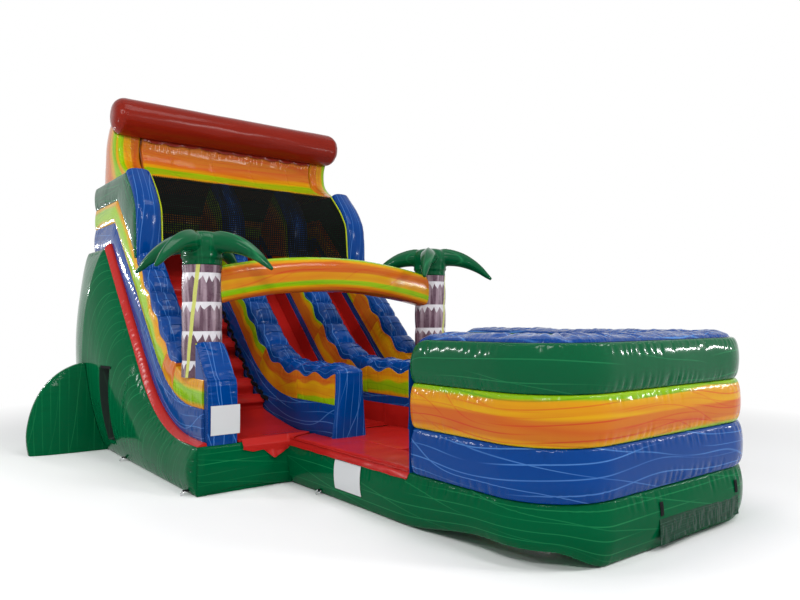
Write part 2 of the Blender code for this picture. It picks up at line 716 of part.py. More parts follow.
def build_outer_wall(side, label):
    inner, outer = sorted((side * WALL_IN_X, side * WALL_OUT_X))
    bulge = (OUTER_BULGE, LANE_BULGE) if side < 0 else (LANE_BULGE, OUTER_BULGE)
    flat = (OUTER_BULGE, 0.0) if side < 0 else (0.0, OUTER_BULGE)
    coarse = OUTER[::2]
    band("wall_blue_" + label, offset_line(coarse, 0.0), offset_line(coarse, BLUE_TOP),
         inner, outer, *flat, "blue")
    tops, puffs = wavy_top(OUTER, OUTER_TOWER, CAP_REAR_START_Y)
    deck_tops = offset_line(OUTER[OUTER_TOWER + 1:], MARBLE_TOP)
    lows = straightened(offset_line(OUTER, BLUE_TOP))
    marble = band("wall_marble_" + label, lows, tops + deck_tops, inner, outer, *bulge, "marble")
    seat = trunk_shape(side, TRUNK_RADIUS + GAP, BED_Z + MARBLE_TOP, TRUNK_TOP_Z)
    combine(marble, mesh_object("trunk_seat_" + label, seat), "DIFFERENCE")
    outline = tower_outline(tops[-1], 0.0)
    rear = [Vector((point.x, WALL_TOP_Z)) for point in deck_tops[-DECK_STEPS - 1:]]
    band("wall_green_" + label, [tops[-1]] + deck_tops, outline + rear, inner, outer, *bulge, "green")
    first = next(i for i, point in enumerate(tops) if point.x >= CAP_REAR_START_Y)
    line = tops[first:] + outline
    crowns = cap_crowns(puffs[first:], TOWER_CROWN, len(outline))
    cap("wall_cap_" + label, line, crowns, inner, outer)
    build_guard(side, label, inner, outer)


def build_guard(side, label, left, right):
    """Blue block that covers a wall's front end and rises before the trunk."""
    seat = BED_Z + MARBLE_TOP + GAP
    back = OUTER_FRONT_Y - GAP
    pairs = []
    first, last = GUARD_BULGE_SHARES
    for share in GUARD_FACE_SHARES:
        z = BED_Z + GAP + (seat - BED_Z) * share
        swell = GUARD_FACE_BULGE * math.sin(math.pi * (first + (last - first) * share))
        pairs.append((Vector((-swell, z)), Vector((back, z))))
    for run, rise in GUARD_SLOPE_SHARES:
        point = Vector((GUARD_REAR_Y * run, seat + (GUARD_TOP_Z - seat) * rise))
        pairs.append((point, Vector((max(back, point.x), seat))))
    rings = []
    places = ((left, GUARD_SHRINK_SHARE), (left + GUARD_EDGE, GUARD_EDGE_SHARE), ((left + right) / 2, 0.0),
              (right - GUARD_EDGE, GUARD_EDGE_SHARE), (right, GUARD_SHRINK_SHARE))
    for x, shrink in places:
        outer = [point.lerp(core, shrink) for point, core in pairs]
        ring = outer + [Vector((GUARD_REAR_Y, seat)), Vector((back, seat)), Vector((back, BED_Z + GAP))]
        rings.append([(x, *point) for point in ring])
    return skin("trunk_guard_" + label, rings, "blue")


def build_divider(label, left, climb_side):
    right = left + DIVIDER
    last = MIDDLE_TOWER + TOWER_STEPS
    stations = MIDDLE[:last + 1]
    coarse = stations[::2]
    bulge_left = OUTER_BULGE if climb_side else 0.0
    band("divider_blue_" + label, offset_line(coarse, 0.0), offset_line(coarse, BLUE_TOP),
         left, right, bulge_left, 0.0, "blue")
    tops, puffs = wavy_top(stations, MIDDLE_TOWER, DIVIDER_FRONT_Y)
    outline = tower_outline(tops[-1], DIVIDER_TOP_SINK)
    lows = straightened(offset_line(stations, BLUE_TOP))
    band("divider_marble_" + label, lows, tops + outline, left, right, LANE_BULGE, LANE_BULGE, "marble")
    crowns = cap_crowns(puffs, DIVIDER_TOWER_CROWN, len(outline))
    cap("divider_cap_" + label, tops + outline, crowns, left, right, DIVIDER_FRONT_Y)


def lane_stations():
    """Stations of a lane's bed, from the slide's front to the deck."""
    return [(Vector((0.0, BED_Z)), Vector((0, 1)))] + OUTER[OUTER_FRONT_STEPS:OUTER_TOWER + TOWER_STEPS + 1:2]


def build_lane_bed(name, left):
    """Red channel: the bed, with flanges up the sides of the dividers."""
    right = left + LANE_WIDTH
    inner = (left + GAP + FLANGE_THICKNESS, right - GAP - FLANGE_THICKNESS)
    rings = []
    stations = lane_stations()
    for point, up in stations:
        heights = ((left + GAP, GAP), (right - GAP, GAP), (right - GAP, BED_FLANGE),
                   (inner[1], BED_FLANGE), (inner[1], BED_THICKNESS), (inner[0], BED_THICKNESS),
                   (inner[0], BED_FLANGE), (left + GAP, BED_FLANGE))
        rings.append([(x, *(point + up * height)) for x, height in heights])
    return skin(name, rings, "red")


def build_climb_bed():
    """Climbing bed with rounded treads across it."""
    stations = lane_stations()
    lows = [point + up * GAP for point, up in stations]
    highs = [Vector((0.0, BED_Z + BED_THICKNESS)), Vector((BED_FLAT, BED_Z + BED_THICKNESS))]
    for tread in range(STEP_COUNT):
        for run, rise in STEP_SHARES:
            length = STEP_START + STEP_PITCH * (tread + run) - BED_FLAT
            point, up = bed_at(length)
            highs.append(point + up * (BED_THICKNESS + STEP_HEIGHT * rise))
    point, up = stations[-1]
    highs.append(point + up * BED_THICKNESS)
    outline = [tuple(point) for point in lows + highs[::-1]]
    right = DIVIDER_ONE_X - OUTER_BULGE - GAP
    return flat_outline("climb_bed", outline, GAP - WALL_IN_X, right, colour="red")


def bed_at(length):
    """Point of the bed at a length past the flat, and the direction square to it."""
    arc = BED_RADIUS * BED_ANGLE
    if length <= 0:
        return Vector((BED_FLAT + length, BED_Z)), Vector((0, 1))
    if length < arc:
        turn = length / BED_RADIUS
        up = Vector((-math.sin(turn), math.cos(turn)))
        return ARC_CENTRE - up * BED_RADIUS, up
    return ARC_END + SLOPE * (length - arc), SLOPE_UP


def build_deck():
    low = (-WALL_IN_X + FLANGE_THICKNESS, DECK_EDGE.x + BED_THICKNESS, DECK_Z + GAP)
    rear = SLIDE_DEPTH - REAR_WALL_THICKNESS - REAR_WALL_BULGE - GAP
    high = (WALL_IN_X - FLANGE_THICKNESS, rear, DECK_Z + BED_THICKNESS)
    return mesh_object("deck_mat", box_shape(low, high), "blue")


def build_rear():
    """Lower rear panel with upright puffs, the banded wall above it and the air sleeve."""
    panel = skin("rear_panel", rear_rings(0.0), "green")
    seams = (DECK_Z + GAP, DECK_Z + BLUE_TOP, DECK_Z + MARBLE_TOP, WALL_TOP_Z - GAP)
    inner = SLIDE_DEPTH - REAR_WALL_THICKNESS
    front, back = [(inner, seams[0])], [(SLIDE_DEPTH, seams[0])]
    for low, high in zip(seams, seams[1:]):
        front += [(inner - REAR_WALL_BULGE, (low + high) / 2), (inner, high)]
        back += [(SLIDE_DEPTH + REAR_WALL_BULGE, (low + high) / 2), (SLIDE_DEPTH, high)]
    reach = WALL_IN_X - LANE_BULGE - GAP
    flat_outline("rear_wall", front + back[::-1], -reach, reach, colour="marble")
    sleeve = air_sleeve()
    combine(sleeve, skin("sleeve_seat", rear_rings(GAP)), "DIFFERENCE")
    return panel


def rear_rings(grow):
    rings = []
    count = REAR_COLUMNS * REAR_COLUMN_STEPS
    for step in range(count + 1):
        x = -WALL_OUT_X + 2 * WALL_OUT_X * step / count
        puff_share = abs(math.sin(math.pi * step / REAR_COLUMN_STEPS)) ** REAR_PUFF_POWER
        swell = REAR_FLAT + (REAR_BULGE - REAR_FLAT) * puff_share
        ring = [(x, BASE_DEPTH + GAP, 0), (x, BASE_DEPTH + GAP, DECK_Z - GAP)]
        for level in range(REAR_STEPS + 1):
            share = level / REAR_STEPS
            bulge = swell * math.sin(math.pi * share) ** REAR_END_POWER if 0 < level < REAR_STEPS else 0.0
            ring.append((x, REAR_PANEL_Y + bulge + grow, (DECK_Z - GAP) * (1 - share)))
        rings.append(ring)
    return rings


def air_sleeve():
    """Open tube that a blower would be strapped into."""
    shape = bmesh.new()
    inner = SLEEVE_RADIUS - SLEEVE_WALL
    corners = ((SLEEVE_RADIUS, REAR_PANEL_Y), (SLEEVE_RADIUS, REAR_REACH),
               (inner, REAR_REACH), (inner, REAR_PANEL_Y))
    knots = [shape.verts.new((radius, y, 0)) for radius, y in corners]
    edges = [shape.edges.new((knots[i], knots[(i + 1) % 4])) for i in range(4)]
    bmesh.ops.spin(shape, geom=knots + edges, cent=(0, 0, 0), axis=(0, 1, 0), angle=math.tau,
                   steps=SLEEVE_SIDES, use_merge=True)
    bmesh.ops.translate(shape, vec=(SLEEVE_X, 0, SLEEVE_Z), verts=shape.verts)
    return mesh_object("air_sleeve", shape, "black")


def header_point(shares):
    """A point of the header's side outline, from its shares of depth and height."""
    depth = HEADER_REAR_Y - TOWER_TOP_Y
    height = ROLL_Z + ROLL_RADIUS / 2 - WALL_TOP_Z
    return Vector((TOWER_TOP_Y + depth * shares[0], WALL_TOP_Z + GAP + height * shares[1]))


def pillow_prism(name, outline, left, right, edge, shrink, colour):
    """An outline swept along x, drawn in a little at both ends."""
    centre = sum(outline, Vector((0, 0))) / len(outline)
    rings = []
    for x, share in ((left, shrink), (left + edge, 0.0), (right - edge, 0.0), (right, shrink)):
        rings.append([(x, *point.lerp(centre, share)) for point in outline])
    return skin(name, rings, colour)


def roll_shape(radius, length):
    shape = bmesh.new()
    bmesh.ops.create_cone(shape, cap_ends=True, segments=ROLL_SIDES, radius1=radius, radius2=radius,
                          depth=length)
    turn = Matrix.Rotation(math.pi / 2, 4, "Y")
    bmesh.ops.transform(shape, matrix=Matrix.Translation((0, ROLL_Y, ROLL_Z)) @ turn, verts=shape.verts)
    return shape


def build_header():
    back = [header_point(pair) for pair in HEADER_BACK_SHARES]
    front = [header_point(pair) for pair in HEADER_FRONT_SHARES]
    seat = mesh_object("roll_seat", roll_shape(ROLL_RADIUS + GAP, ROLL_LENGTH + CUT_OVERRUN))
    for side, label in ((-1, "left"), (1, "right")):
        left, right = sorted((side * HEADER_IN_X, side * HEADER_OUT_X))
        post = pillow_prism("header_side_" + label, back + front, left, right,
                            HEADER_EDGE, HEADER_SHRINK_SHARE, "orange")
        combine(post, seat, "DIFFERENCE")
    reach = HEADER_IN_X - GAP
    behind = [point + Vector((FASCIA_THICKNESS, 0)) for point in front]
    fascia = flat_outline("fascia", [tuple(p) for p in front + behind[::-1]], -reach, reach, colour="marble")
    combine(fascia, seat, "DIFFERENCE")
    inside = [point + up * HOOD_THICKNESS for point, up in zip(back, line_normals(back))]
    inside[0] = Vector((back[0].x - HOOD_THICKNESS, back[0].y))
    outline = [tuple(point) for point in back + inside[::-1]]
    hood = flat_outline("header_back", outline, -reach, reach, colour="orange")
    combine(hood, seat, "DIFFERENCE")
    roll = mesh_object("top_roll", roll_shape(ROLL_RADIUS, ROLL_LENGTH), "red")
    rounding = roll.modifiers.new("ends", "BEVEL")
    rounding.width = ROLL_END
    rounding.segments = ROLL_END_STEPS
    rounding.limit_method = "ANGLE"
    rounding.angle_limit = math.radians(60)


def build_net():
    """Safety net stretched over the dividers, from the fascia to the top of the slope."""
    tops, puffs = wavy_top(MIDDLE, MIDDLE_TOWER, DIVIDER_FRONT_Y)
    line = tops + tower_outline(tops[-1], DIVIDER_TOP_SINK)
    crowns = [SEAM_CROWN] + [DIVIDER_TOWER_CROWN] * len(OUTLINE_SHARES)
    foot = len(tops) - 1
    rows = [point + up * (crown * cap_swell(CAP_SIDES // 2) + NET_THICKNESS / 2 + 2 * GAP)
            for point, up, crown in zip(line[foot:], line_normals(line)[foot:], crowns)]
    rows[0] = rows[0].lerp(rows[1], NET_FOOT_SHARE)
    reach = WALL_IN_X - LANE_BULGE - GAP
    shape = bmesh.new()
    grid = []
    for point in rows:
        xs = [-reach + 2 * reach * column / NET_COLUMNS for column in range(NET_COLUMNS + 1)]
        grid.append([shape.verts.new((x, *point)) for x in xs])
    for near, far in zip(grid, grid[1:]):
        for i in range(NET_COLUMNS):
            shape.faces.new((near[i], near[i + 1], far[i + 1], far[i]))
    shape.normal_update()
    cells = list(shape.faces)
    bmesh.ops.inset_individual(shape, faces=cells, thickness=NET_STRAND, use_even_offset=True)
    bmesh.ops.delete(shape, geom=cells, context="FACES")
    net = mesh_object("safety_net", shape, "net")
    thick = net.modifiers.new("thickness", "SOLIDIFY")
    thick.thickness = NET_THICKNESS
    thick.offset = 0
    return net


def trunk_shape(side, radius, low, high):
    """An upright cylinder on a palm's axis."""
    shape = bmesh.new()
    bmesh.ops.create_cone(shape, cap_ends=True, segments=TRUNK_SIDES, radius1=radius, radius2=radius,
                          depth=high - low)
    bmesh.ops.translate(shape, vec=(side * TRUNK_X, TRUNK_Y, (low + high) / 2), verts=shape.verts)
    return shape


def build_palm(side, label, turn):
    x = side * TRUNK_X
    foot = BED_Z + MARBLE_TOP + GAP
    mesh_object("palm_trunk_" + label, trunk_shape(side, TRUNK_RADIUS, foot, TRUNK_TOP_Z), "trunk")
    shape = bmesh.new()
    profile = [(0.0, 1.0)] + list(CROWN_PROFILE_SHARES[1:]) + [(0.0, 0.0)]
    knots = []
    for out, up in profile:
        knots.append(shape.verts.new((CROWN_RADIUS * out, 0, TRUNK_TOP_Z + GAP + CROWN_HEIGHT * up)))
    for near, far in zip(knots, knots[1:]):
        shape.edges.new((near, far))
    bmesh.ops.spin(shape, geom=list(shape.verts) + list(shape.edges), cent=(0, 0, 0), axis=(0, 0, 1),
                   angle=math.tau, steps=TRUNK_SIDES, use_merge=True)
    bmesh.ops.remove_doubles(shape, verts=shape.verts, dist=GAP / 10)
    bmesh.ops.translate(shape, vec=(x, TRUNK_Y, 0), verts=shape.verts)
    crown = mesh_object("palm_crown_" + label, shape, "green")
    for quarter in range(4):
        frond = palm_frond(f"frond_{label}_{quarter}", turn + quarter * math.pi / 2, x)
        combine(crown, frond, "UNION")
    return crown


def palm_frond(name, turn, x):
    curve = bpy.data.curves.new(name, "CURVE")
    curve.dimensions = "3D"
    curve.bevel_depth = FROND_RADIUS
    curve.bevel_resolution = 1
    curve.use_fill_caps = True
    spline = curve.splines.new("POLY")
    spline.points.add(len(FROND_SHARES) - 1)
    for knot, (out, drop, thick) in zip(spline.points, FROND_SHARES):
        reach = FROND_REACH * out
        knot.co = (reach * math.cos(turn), reach * math.sin(turn), FROND_ROOT_Z - FROND_DROP * drop, 1)
        knot.radius = thick
    source = bpy.data.objects.new(name + "_curve", curve)
    CUTTERS.objects.link(source)
    source.matrix_basis = Matrix.Translation((x, TRUNK_Y, 0))
    return curve_to_mesh(name, source)


def build_beam():
    """Arched beam between the palm trunks, cut to their round sides."""
    rings = []
    for step in range(BEAM_STEPS + 1):
        share = step / BEAM_STEPS
        x = -TRUNK_X + 2 * TRUNK_X * share
        arch = 1 - (2 * share - 1) ** 2
        centre = BEAM_Z + BEAM_RISE * arch
        ring = []
        for side in range(BEAM_SIDES):
            turn = math.tau * (side + 0.5) / BEAM_SIDES
            deep = math.copysign(abs(math.cos(turn)) ** BEAM_ROUNDNESS, math.cos(turn)) * BEAM_DEPTH / 2
            high = math.copysign(abs(math.sin(turn)) ** BEAM_ROUNDNESS, math.sin(turn)) * BEAM_HEIGHT / 2
            ring.append((x, TRUNK_Y + deep, centre + high))
        rings.append(ring)
    beam = skin("arch_beam", rings, "marble")
    for side, label in ((-1, "left"), (1, "right")):
        seat = trunk_shape(side, TRUNK_RADIUS + GAP, BEAM_Z - BEAM_HEIGHT, BEAM_Z + BEAM_HEIGHT)
        combine(beam, mesh_object("beam_seat_" + label, seat), "DIFFERENCE")
    return beam


def pool_plan(left_start_y, right_end_y, lean_share, rounded=False):
    """Stations round the pool's outside: (x, y), the outward direction and the top's drop."""
    right_x = POOL_RIGHT_X + POOL_LEAN * lean_share
    corner_y = POOL_FRONT_Y + POOL_CORNER
    left = Vector((POOL_LEFT_X + POOL_CORNER, corner_y))
    right = Vector((right_x - POOL_CORNER, corner_y))
    start, end = Vector((POOL_LEFT_X, left_start_y)), Vector((right_x, right_end_y))
    stations = []
    if rounded:
        stations.append((start, Vector((-1, 0)), POOL_END_ROUND))
        start = start - Vector((0, POOL_END_RUN))
    for step in range(POOL_SIDE_STEPS):
        place = start.lerp(Vector((POOL_LEFT_X, corner_y)), step / POOL_SIDE_STEPS)
        stations.append((place, Vector((-1, 0)), 0.0))
    stations += corner_stations(left, math.pi)
    for step in range(POOL_FRONT_STEPS):
        x = left.x + (right.x - left.x) * step / POOL_FRONT_STEPS
        stations.append((Vector((x, POOL_FRONT_Y)), Vector((0, -1)), 0.0))
    stations += corner_stations(right, math.pi * 3 / 2)
    for step in range(POOL_SIDE_STEPS + 1):
        place = Vector((right_x, corner_y)).lerp(end, step / POOL_SIDE_STEPS)
        stations.append((place, Vector((1, 0)), 0.0))
    return stations


def corner_stations(centre, start_turn):
    turns = [start_turn + math.pi / 2 * step / POOL_CORNER_STEPS for step in range(POOL_CORNER_STEPS)]
    outs = [Vector((math.cos(turn), math.sin(turn))) for turn in turns]
    return [(centre + out * POOL_CORNER, out, 0.0) for out in outs]


def pool_ring(name, section, plan, colour):
    """One chamber of the pool's wall, swept round the plan; section is (out, z)."""
    rings = []
    for point, out, drop in plan:
        ring = []
        for reach, z in section:
            share = (z - POOL_ORANGE_Z) / (POOL_GREEN_Z - POOL_ORANGE_Z)
            ring.append((*(point + out * reach), z - drop * min(1.0, max(0.0, share))))
        rings.append(ring)
    return skin(name, rings, colour)


def wall_section(low, high):
    third = (high - low) / 3
    return [(0, low), (POOL_BULGE, low + third), (POOL_BULGE, high - third), (0, high),
            (-POOL_WALL, high), (-POOL_WALL - POOL_INNER_BULGE, (low + high) / 2), (-POOL_WALL, low)]


def build_pool():
    base_back = -BASE_FRONT_BULGE - GAP
    section = [(-POOL_BASE_UNDERCUT, 0), (POOL_BASE_BULGE, POOL_BASE_Z / 3),
               (POOL_BASE_BULGE, POOL_BASE_Z * 2 / 3), (0, POOL_BASE_Z),
               (-POOL_BASE_WALL, POOL_BASE_Z), (-POOL_BASE_WALL, 0)]
    base_share, blue_share, orange_share, green_share = POOL_LEAN_SHARES
    base = pool_ring("pool_base", section, pool_plan(base_back, base_back, base_share), "green")
    for side, label, x in ((-1, "left", POOL_LEFT_X), (1, "right", POOL_RIGHT_X + POOL_LEAN * base_share)):
        name = "pool_anchor_" + label
        tab_x = x - side * POOL_BASE_UNDERCUT
        combine(base, anchor_tab(name + "_tab", tab_x, POOL_ANCHOR_Y, side), "UNION")
        anchor_ring(name + "_ring", tab_x, POOL_ANCHOR_Y, side)
    levels = (("pool_ring_blue", POOL_BASE_Z, POOL_BLUE_Z, blue_share, "blue"),
              ("pool_ring_orange", POOL_BLUE_Z, POOL_ORANGE_Z, orange_share, "orange"),
              ("pool_ring_green", POOL_ORANGE_Z, POOL_GREEN_Z, green_share, "green"))
    for name, low, high, share, colour in levels:
        plan = pool_plan(POOL_WALL_START_Y, POOL_SIDE_END_Y, share, rounded=True)
        pool_ring(name, wall_section(low + GAP, high), plan, colour)
    low = POOL_GREEN_Z + GAP
    shoulder, top = low + POOL_CAP_CROWN * POOL_CAP_SHOULDER_SHARE, low + POOL_CAP_CROWN
    near, far = -POOL_CAP_INSET, POOL_CAP_INSET - POOL_WALL
    crown = [(near, low), (near - POOL_CAP_INSET, shoulder), ((near + far) / 2, top),
             (far + POOL_CAP_INSET, shoulder), (far, low)]
    plan = pool_plan(POOL_WALL_START_Y, POOL_SIDE_END_Y, green_share, rounded=True)
    pool_ring("pool_cap", crown, plan, "blue")
    build_pool_floor(base_back)


def build_pool_floor(back_y):
    """Landing pad with its strip over the exit side, and the sunken pool floor."""
    left = POOL_LEFT_X + POOL_BASE_WALL + GAP
    base_share, blue_share = POOL_LEAN_SHARES[:2]
    right = POOL_RIGHT_X + POOL_LEAN * base_share - POOL_BASE_WALL - GAP
    pad_right = POOL_RIGHT_X + POOL_LEAN * blue_share - POOL_WALL - POOL_INNER_BULGE - GAP
    pad = box_shape((left, back_y - LANDING_LENGTH, 0), (pad_right, back_y, BED_Z))
    pad = mesh_object("landing_pad", pad, "red")
    low = (POOL_LEFT_X, POOL_WALL_START_Y + GAP, POOL_BASE_Z + GAP)
    strip = box_shape(low, (left + CUT_OVERRUN, back_y, BED_Z))
    combine(pad, mesh_object("exit_strip", strip), "UNION")
    front = POOL_FRONT_Y + POOL_BASE_WALL + GAP
    inner = POOL_CORNER - POOL_BASE_WALL
    outline = [(left, back_y - LANDING_LENGTH - GAP), (left, front + inner), (left + inner, front),
               (right - inner, front), (right, front + inner), (right, back_y - LANDING_LENGTH - GAP)]
    return flat_outline("pool_floor", outline, 0, POOL_FLOOR_THICKNESS, "z", "red")


def hinged_flap(name, left, width, drop, thickness, shares, pivot, lean, colour):
    """A flap whose origin is on its hinge line; it hangs down and leans forward."""
    outline = [(width * across, -drop * down) for across, down in shares]
    flap = flat_outline(name, outline, -thickness / 2, thickness / 2, "z", colour, (left, *pivot))
    flap.rotation_euler = (math.pi / 2 - lean, 0, 0)
    return flap


def build_flaps():
    half = ENTRY_FLAP_THICKNESS / 2
    pivot = (-GAP - half, BED_Z + BED_THICKNESS - half)
    hinged_flap("entrance_flap", ENTRY_FLAP_LEFT_X, ENTRY_FLAP_WIDTH, ENTRY_FLAP_DROP, ENTRY_FLAP_THICKNESS,
                ENTRY_FLAP_SHARES, pivot, ENTRY_FLAP_LEAN, "red")
    face_y = POOL_FRONT_Y - POOL_BASE_BULGE - GAP
    pivot = (face_y - PORT_FLAP_THICKNESS / 2, PORT_FLAP_TOP_Z)
    hinged_flap("port_flap", PORT_FLAP_LEFT_X, PORT_FLAP_WIDTH, PORT_FLAP_DROP, PORT_FLAP_THICKNESS,
                PORT_FLAP_SHARES, pivot, 0.0, "green")
    ends = (PORT_FLAP_LEFT_X + PORT_STRAP_INSET, PORT_FLAP_LEFT_X + PORT_FLAP_WIDTH - PORT_STRAP_INSET)
    foot_z = PORT_FLAP_TOP_Z + PORT_FLAP_THICKNESS / 2 + GAP
    for label, x in zip(("left", "right"), ends):
        low = (x - PORT_STRAP_WIDTH / 2, face_y - PORT_STRAP_THICKNESS, foot_z)
        high = (x + PORT_STRAP_WIDTH / 2, face_y, PORT_STRAP_TOP_Z)
        mesh_object("port_strap_" + label, box_shape(low, high), "black")


def build_handles():
    """Webbing strip on the first divider, sewn down between its hand loops."""
    face = DIVIDER_ONE_X - OUTER_BULGE - GAP
    low = BLUE_TOP * HANDLE_LOW_SHARE
    rings = []
    for loop in range(HANDLE_LOOPS + 1):
        shares = HANDLE_SHARES if loop < HANDLE_LOOPS else HANDLE_SHARES[:2]
        for run, out in shares:
            point, up = bed_at(HANDLE_START + HANDLE_PITCH * (loop + run) - BED_FLAT)
            inner = face - HANDLE_STAND_OFF * out
            outer = inner - HANDLE_THICKNESS
            foot, head = point + up * low, point + up * (low + HANDLE_WIDTH)
            rings.append([(inner, *foot), (outer, *foot), (outer, *head), (inner, *head)])
    return skin("handle_strap", rings, "black")


build_base()
build_side(-1, "left")
build_side(1, "right")
build_outer_wall(-1, "left")
build_outer_wall(1, "right")
build_divider("climb", DIVIDER_ONE_X, True)
build_divider("lanes", DIVIDER_TWO_X, False)
build_climb_bed()
build_lane_bed("lane_bed_left", LANE_ONE_X)
build_lane_bed("lane_bed_right", LANE_TWO_X)
build_deck()
build_rear()
build_header()
build_net()
build_palm(-1, "left", LEFT_PALM_TURN)
build_palm(1, "right", RIGHT_PALM_TURN)
build_beam()
build_pool()
build_flaps()
build_handles()
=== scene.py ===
"""The finish of a two-lane inflatable water slide: sewn vinyl chambers with their folds,
printed streaks, piping, net, webbing and palm trees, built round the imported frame.

Places are in the slide's own layout, which counts y from its front line, and each piece
is then moved by FRONT_Y into the frame. The left of the slide is at -x.
"""

import math

import bmesh
import bpy
import numpy as np
from mathutils import Matrix, Vector


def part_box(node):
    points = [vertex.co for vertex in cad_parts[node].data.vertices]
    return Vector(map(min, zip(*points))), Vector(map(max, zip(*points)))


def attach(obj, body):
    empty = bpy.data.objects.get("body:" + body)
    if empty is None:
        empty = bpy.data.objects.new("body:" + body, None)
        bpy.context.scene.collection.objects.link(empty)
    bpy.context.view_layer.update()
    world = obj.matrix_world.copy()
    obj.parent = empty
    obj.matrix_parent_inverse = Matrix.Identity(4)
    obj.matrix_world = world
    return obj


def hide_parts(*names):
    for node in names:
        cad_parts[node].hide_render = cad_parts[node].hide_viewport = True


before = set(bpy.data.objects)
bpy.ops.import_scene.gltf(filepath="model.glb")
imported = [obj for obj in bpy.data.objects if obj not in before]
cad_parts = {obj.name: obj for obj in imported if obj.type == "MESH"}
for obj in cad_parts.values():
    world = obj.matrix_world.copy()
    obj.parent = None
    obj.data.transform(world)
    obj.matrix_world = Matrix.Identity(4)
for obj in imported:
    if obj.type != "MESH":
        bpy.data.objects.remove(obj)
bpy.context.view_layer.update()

# Sizes of the frame, in metres
FRONT_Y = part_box("bed_edge_left")[0].y
HALF_WIDTH = 1.833
SIDE_INSET = 0.10
OUTER_WALL = 0.308
LANE_WIDTH = 0.66
DIVIDER = 0.33
SLIDE_DEPTH = 4.26
BASE_DEPTH = 4.22
BED_Z = 0.48
BED_FLAT = 0.36
BED_RADIUS = 2.0
BED_ANGLE = math.radians(45)
DECK_Z = 2.70
BED_THICKNESS = 0.03
BLUE_TOP = 0.35
MARBLE_TOP = 0.64
WALL_TOP_Z = 3.66
DIVIDER_SINK = 0.07
TOWER_FRONT_Y = 2.30
TOWER_TOP_Y = 2.78
OUTLINE_SHARES = ((0.0, 0.0), (0.03, 0.24), (0.10, 0.52), (0.25, 0.65), (0.46, 0.77), (0.71, 0.88), (1.0, 1.0))
OUTER_FRONT_Y = 0.08
DIVIDER_FRONT_Y = -0.48
OUTER_BULGE = 0.025
LANE_BULGE = 0.015
PUFF_PITCH = 0.41
PUFF_WAVE = 0.03
SEAM_CROWN = 0.022
PUFF_CROWN = 0.165
TOWER_CROWN = 0.085
DIVIDER_TOWER_CROWN = 0.0675
FRONT_CROWN = 0.060
CAP_ROUNDNESS = 0.75
CAP_START_Y = 0.88
TRUNK_RADIUS = 0.205
TRUNK_Y = 0.53
TRUNK_TOP_Z = 2.292
REAR_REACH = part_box("air_sleeve")[1].y - FRONT_Y

# Places worked out from the sizes
WALL_OUT_X = HALF_WIDTH - SIDE_INSET
WALL_IN_X = WALL_OUT_X - OUTER_WALL
LANE_TWO_X = WALL_IN_X - LANE_WIDTH
DIVIDER_TWO_X = LANE_TWO_X - DIVIDER
LANE_ONE_X = DIVIDER_TWO_X - LANE_WIDTH
DIVIDER_ONE_X = LANE_ONE_X - DIVIDER
TRUNK_X = (WALL_OUT_X + WALL_IN_X) / 2
SLOPE = np.array((math.cos(BED_ANGLE), math.sin(BED_ANGLE)))
SLOPE_UP = np.array((-math.sin(BED_ANGLE), math.cos(BED_ANGLE)))
ARC_CENTRE = np.array((BED_FLAT, BED_Z + BED_RADIUS))
ARC_END = ARC_CENTRE - SLOPE_UP * BED_RADIUS
DECK_EDGE = ARC_END + SLOPE * ((DECK_Z - ARC_END[1]) / SLOPE[1])
DECK_CORNER_UP = (SLOPE_UP + (0, 1)) / (1 + SLOPE_UP[1])
TOWER_FOOT = ARC_END + SLOPE * ((TOWER_FRONT_Y + MARBLE_TOP * SLOPE[1] - ARC_END[0]) / SLOPE[0])

# Fineness of the meshes
STEP = 0.013
ARC_STEPS = 110
SLOPE_STEPS = 110
TOWER_STEPS = 78
DECK_STEPS = 64
SIDE_POINTS = 18

# Folds beside the seams
PUCKER_PITCH = 0.075
PUCKER_DEPTH = 0.009
PUCKER_REACH = 0.03
RIPPLE_DEPTH = 0.004
RIPPLE_PITCH = 0.30
SEAM_FADE = 0.05


def stacked(*parts):
    """Points or vectors from their parts, over the grid that the parts share."""
    return np.stack(np.broadcast_arrays(*parts), axis=-1)


def joined_rows(*parts):
    """Arrays set side by side along their rows."""
    return np.concatenate(parts, axis=1)


def noise(places, seed):
    """Smooth random values between -1 and 1, with a knot at each whole number."""
    places = np.asarray(places, float)
    knots = np.random.default_rng(seed).uniform(-1, 1, 997)
    cell = np.floor(places).astype(int)
    share = soft_step(places - cell)
    return knots[cell % 997] * (1 - share) + knots[(cell + 1) % 997] * share


def noise2(x, y, seed):
    """Smooth random values over a plane."""
    x, y = np.broadcast_arrays(np.asarray(x, float), np.asarray(y, float))
    knots = np.random.default_rng(seed).uniform(-1, 1, (97, 97))
    ix, iy = np.floor(x).astype(int), np.floor(y).astype(int)
    tx, ty = soft_step(x - ix), soft_step(y - iy)
    low = knots[ix % 97, iy % 97] * (1 - tx) + knots[(ix + 1) % 97, iy % 97] * tx
    high = knots[ix % 97, (iy + 1) % 97] * (1 - tx) + knots[(ix + 1) % 97, (iy + 1) % 97] * tx
    return low * (1 - ty) + high * ty


def soft_step(share):
    share = np.clip(share, 0, 1)
    return share * share * (3 - 2 * share)


def cushion(share, power=0.5):
    """Swell between two seams: none at both, one in the middle."""
    return np.clip(4 * share * (1 - share), 0, 1) ** power


def rounded(share):
    """Rise of a quarter circle over a share of its run."""
    return np.sqrt(1 - (1 - np.clip(share, 0, 1)) ** 2)


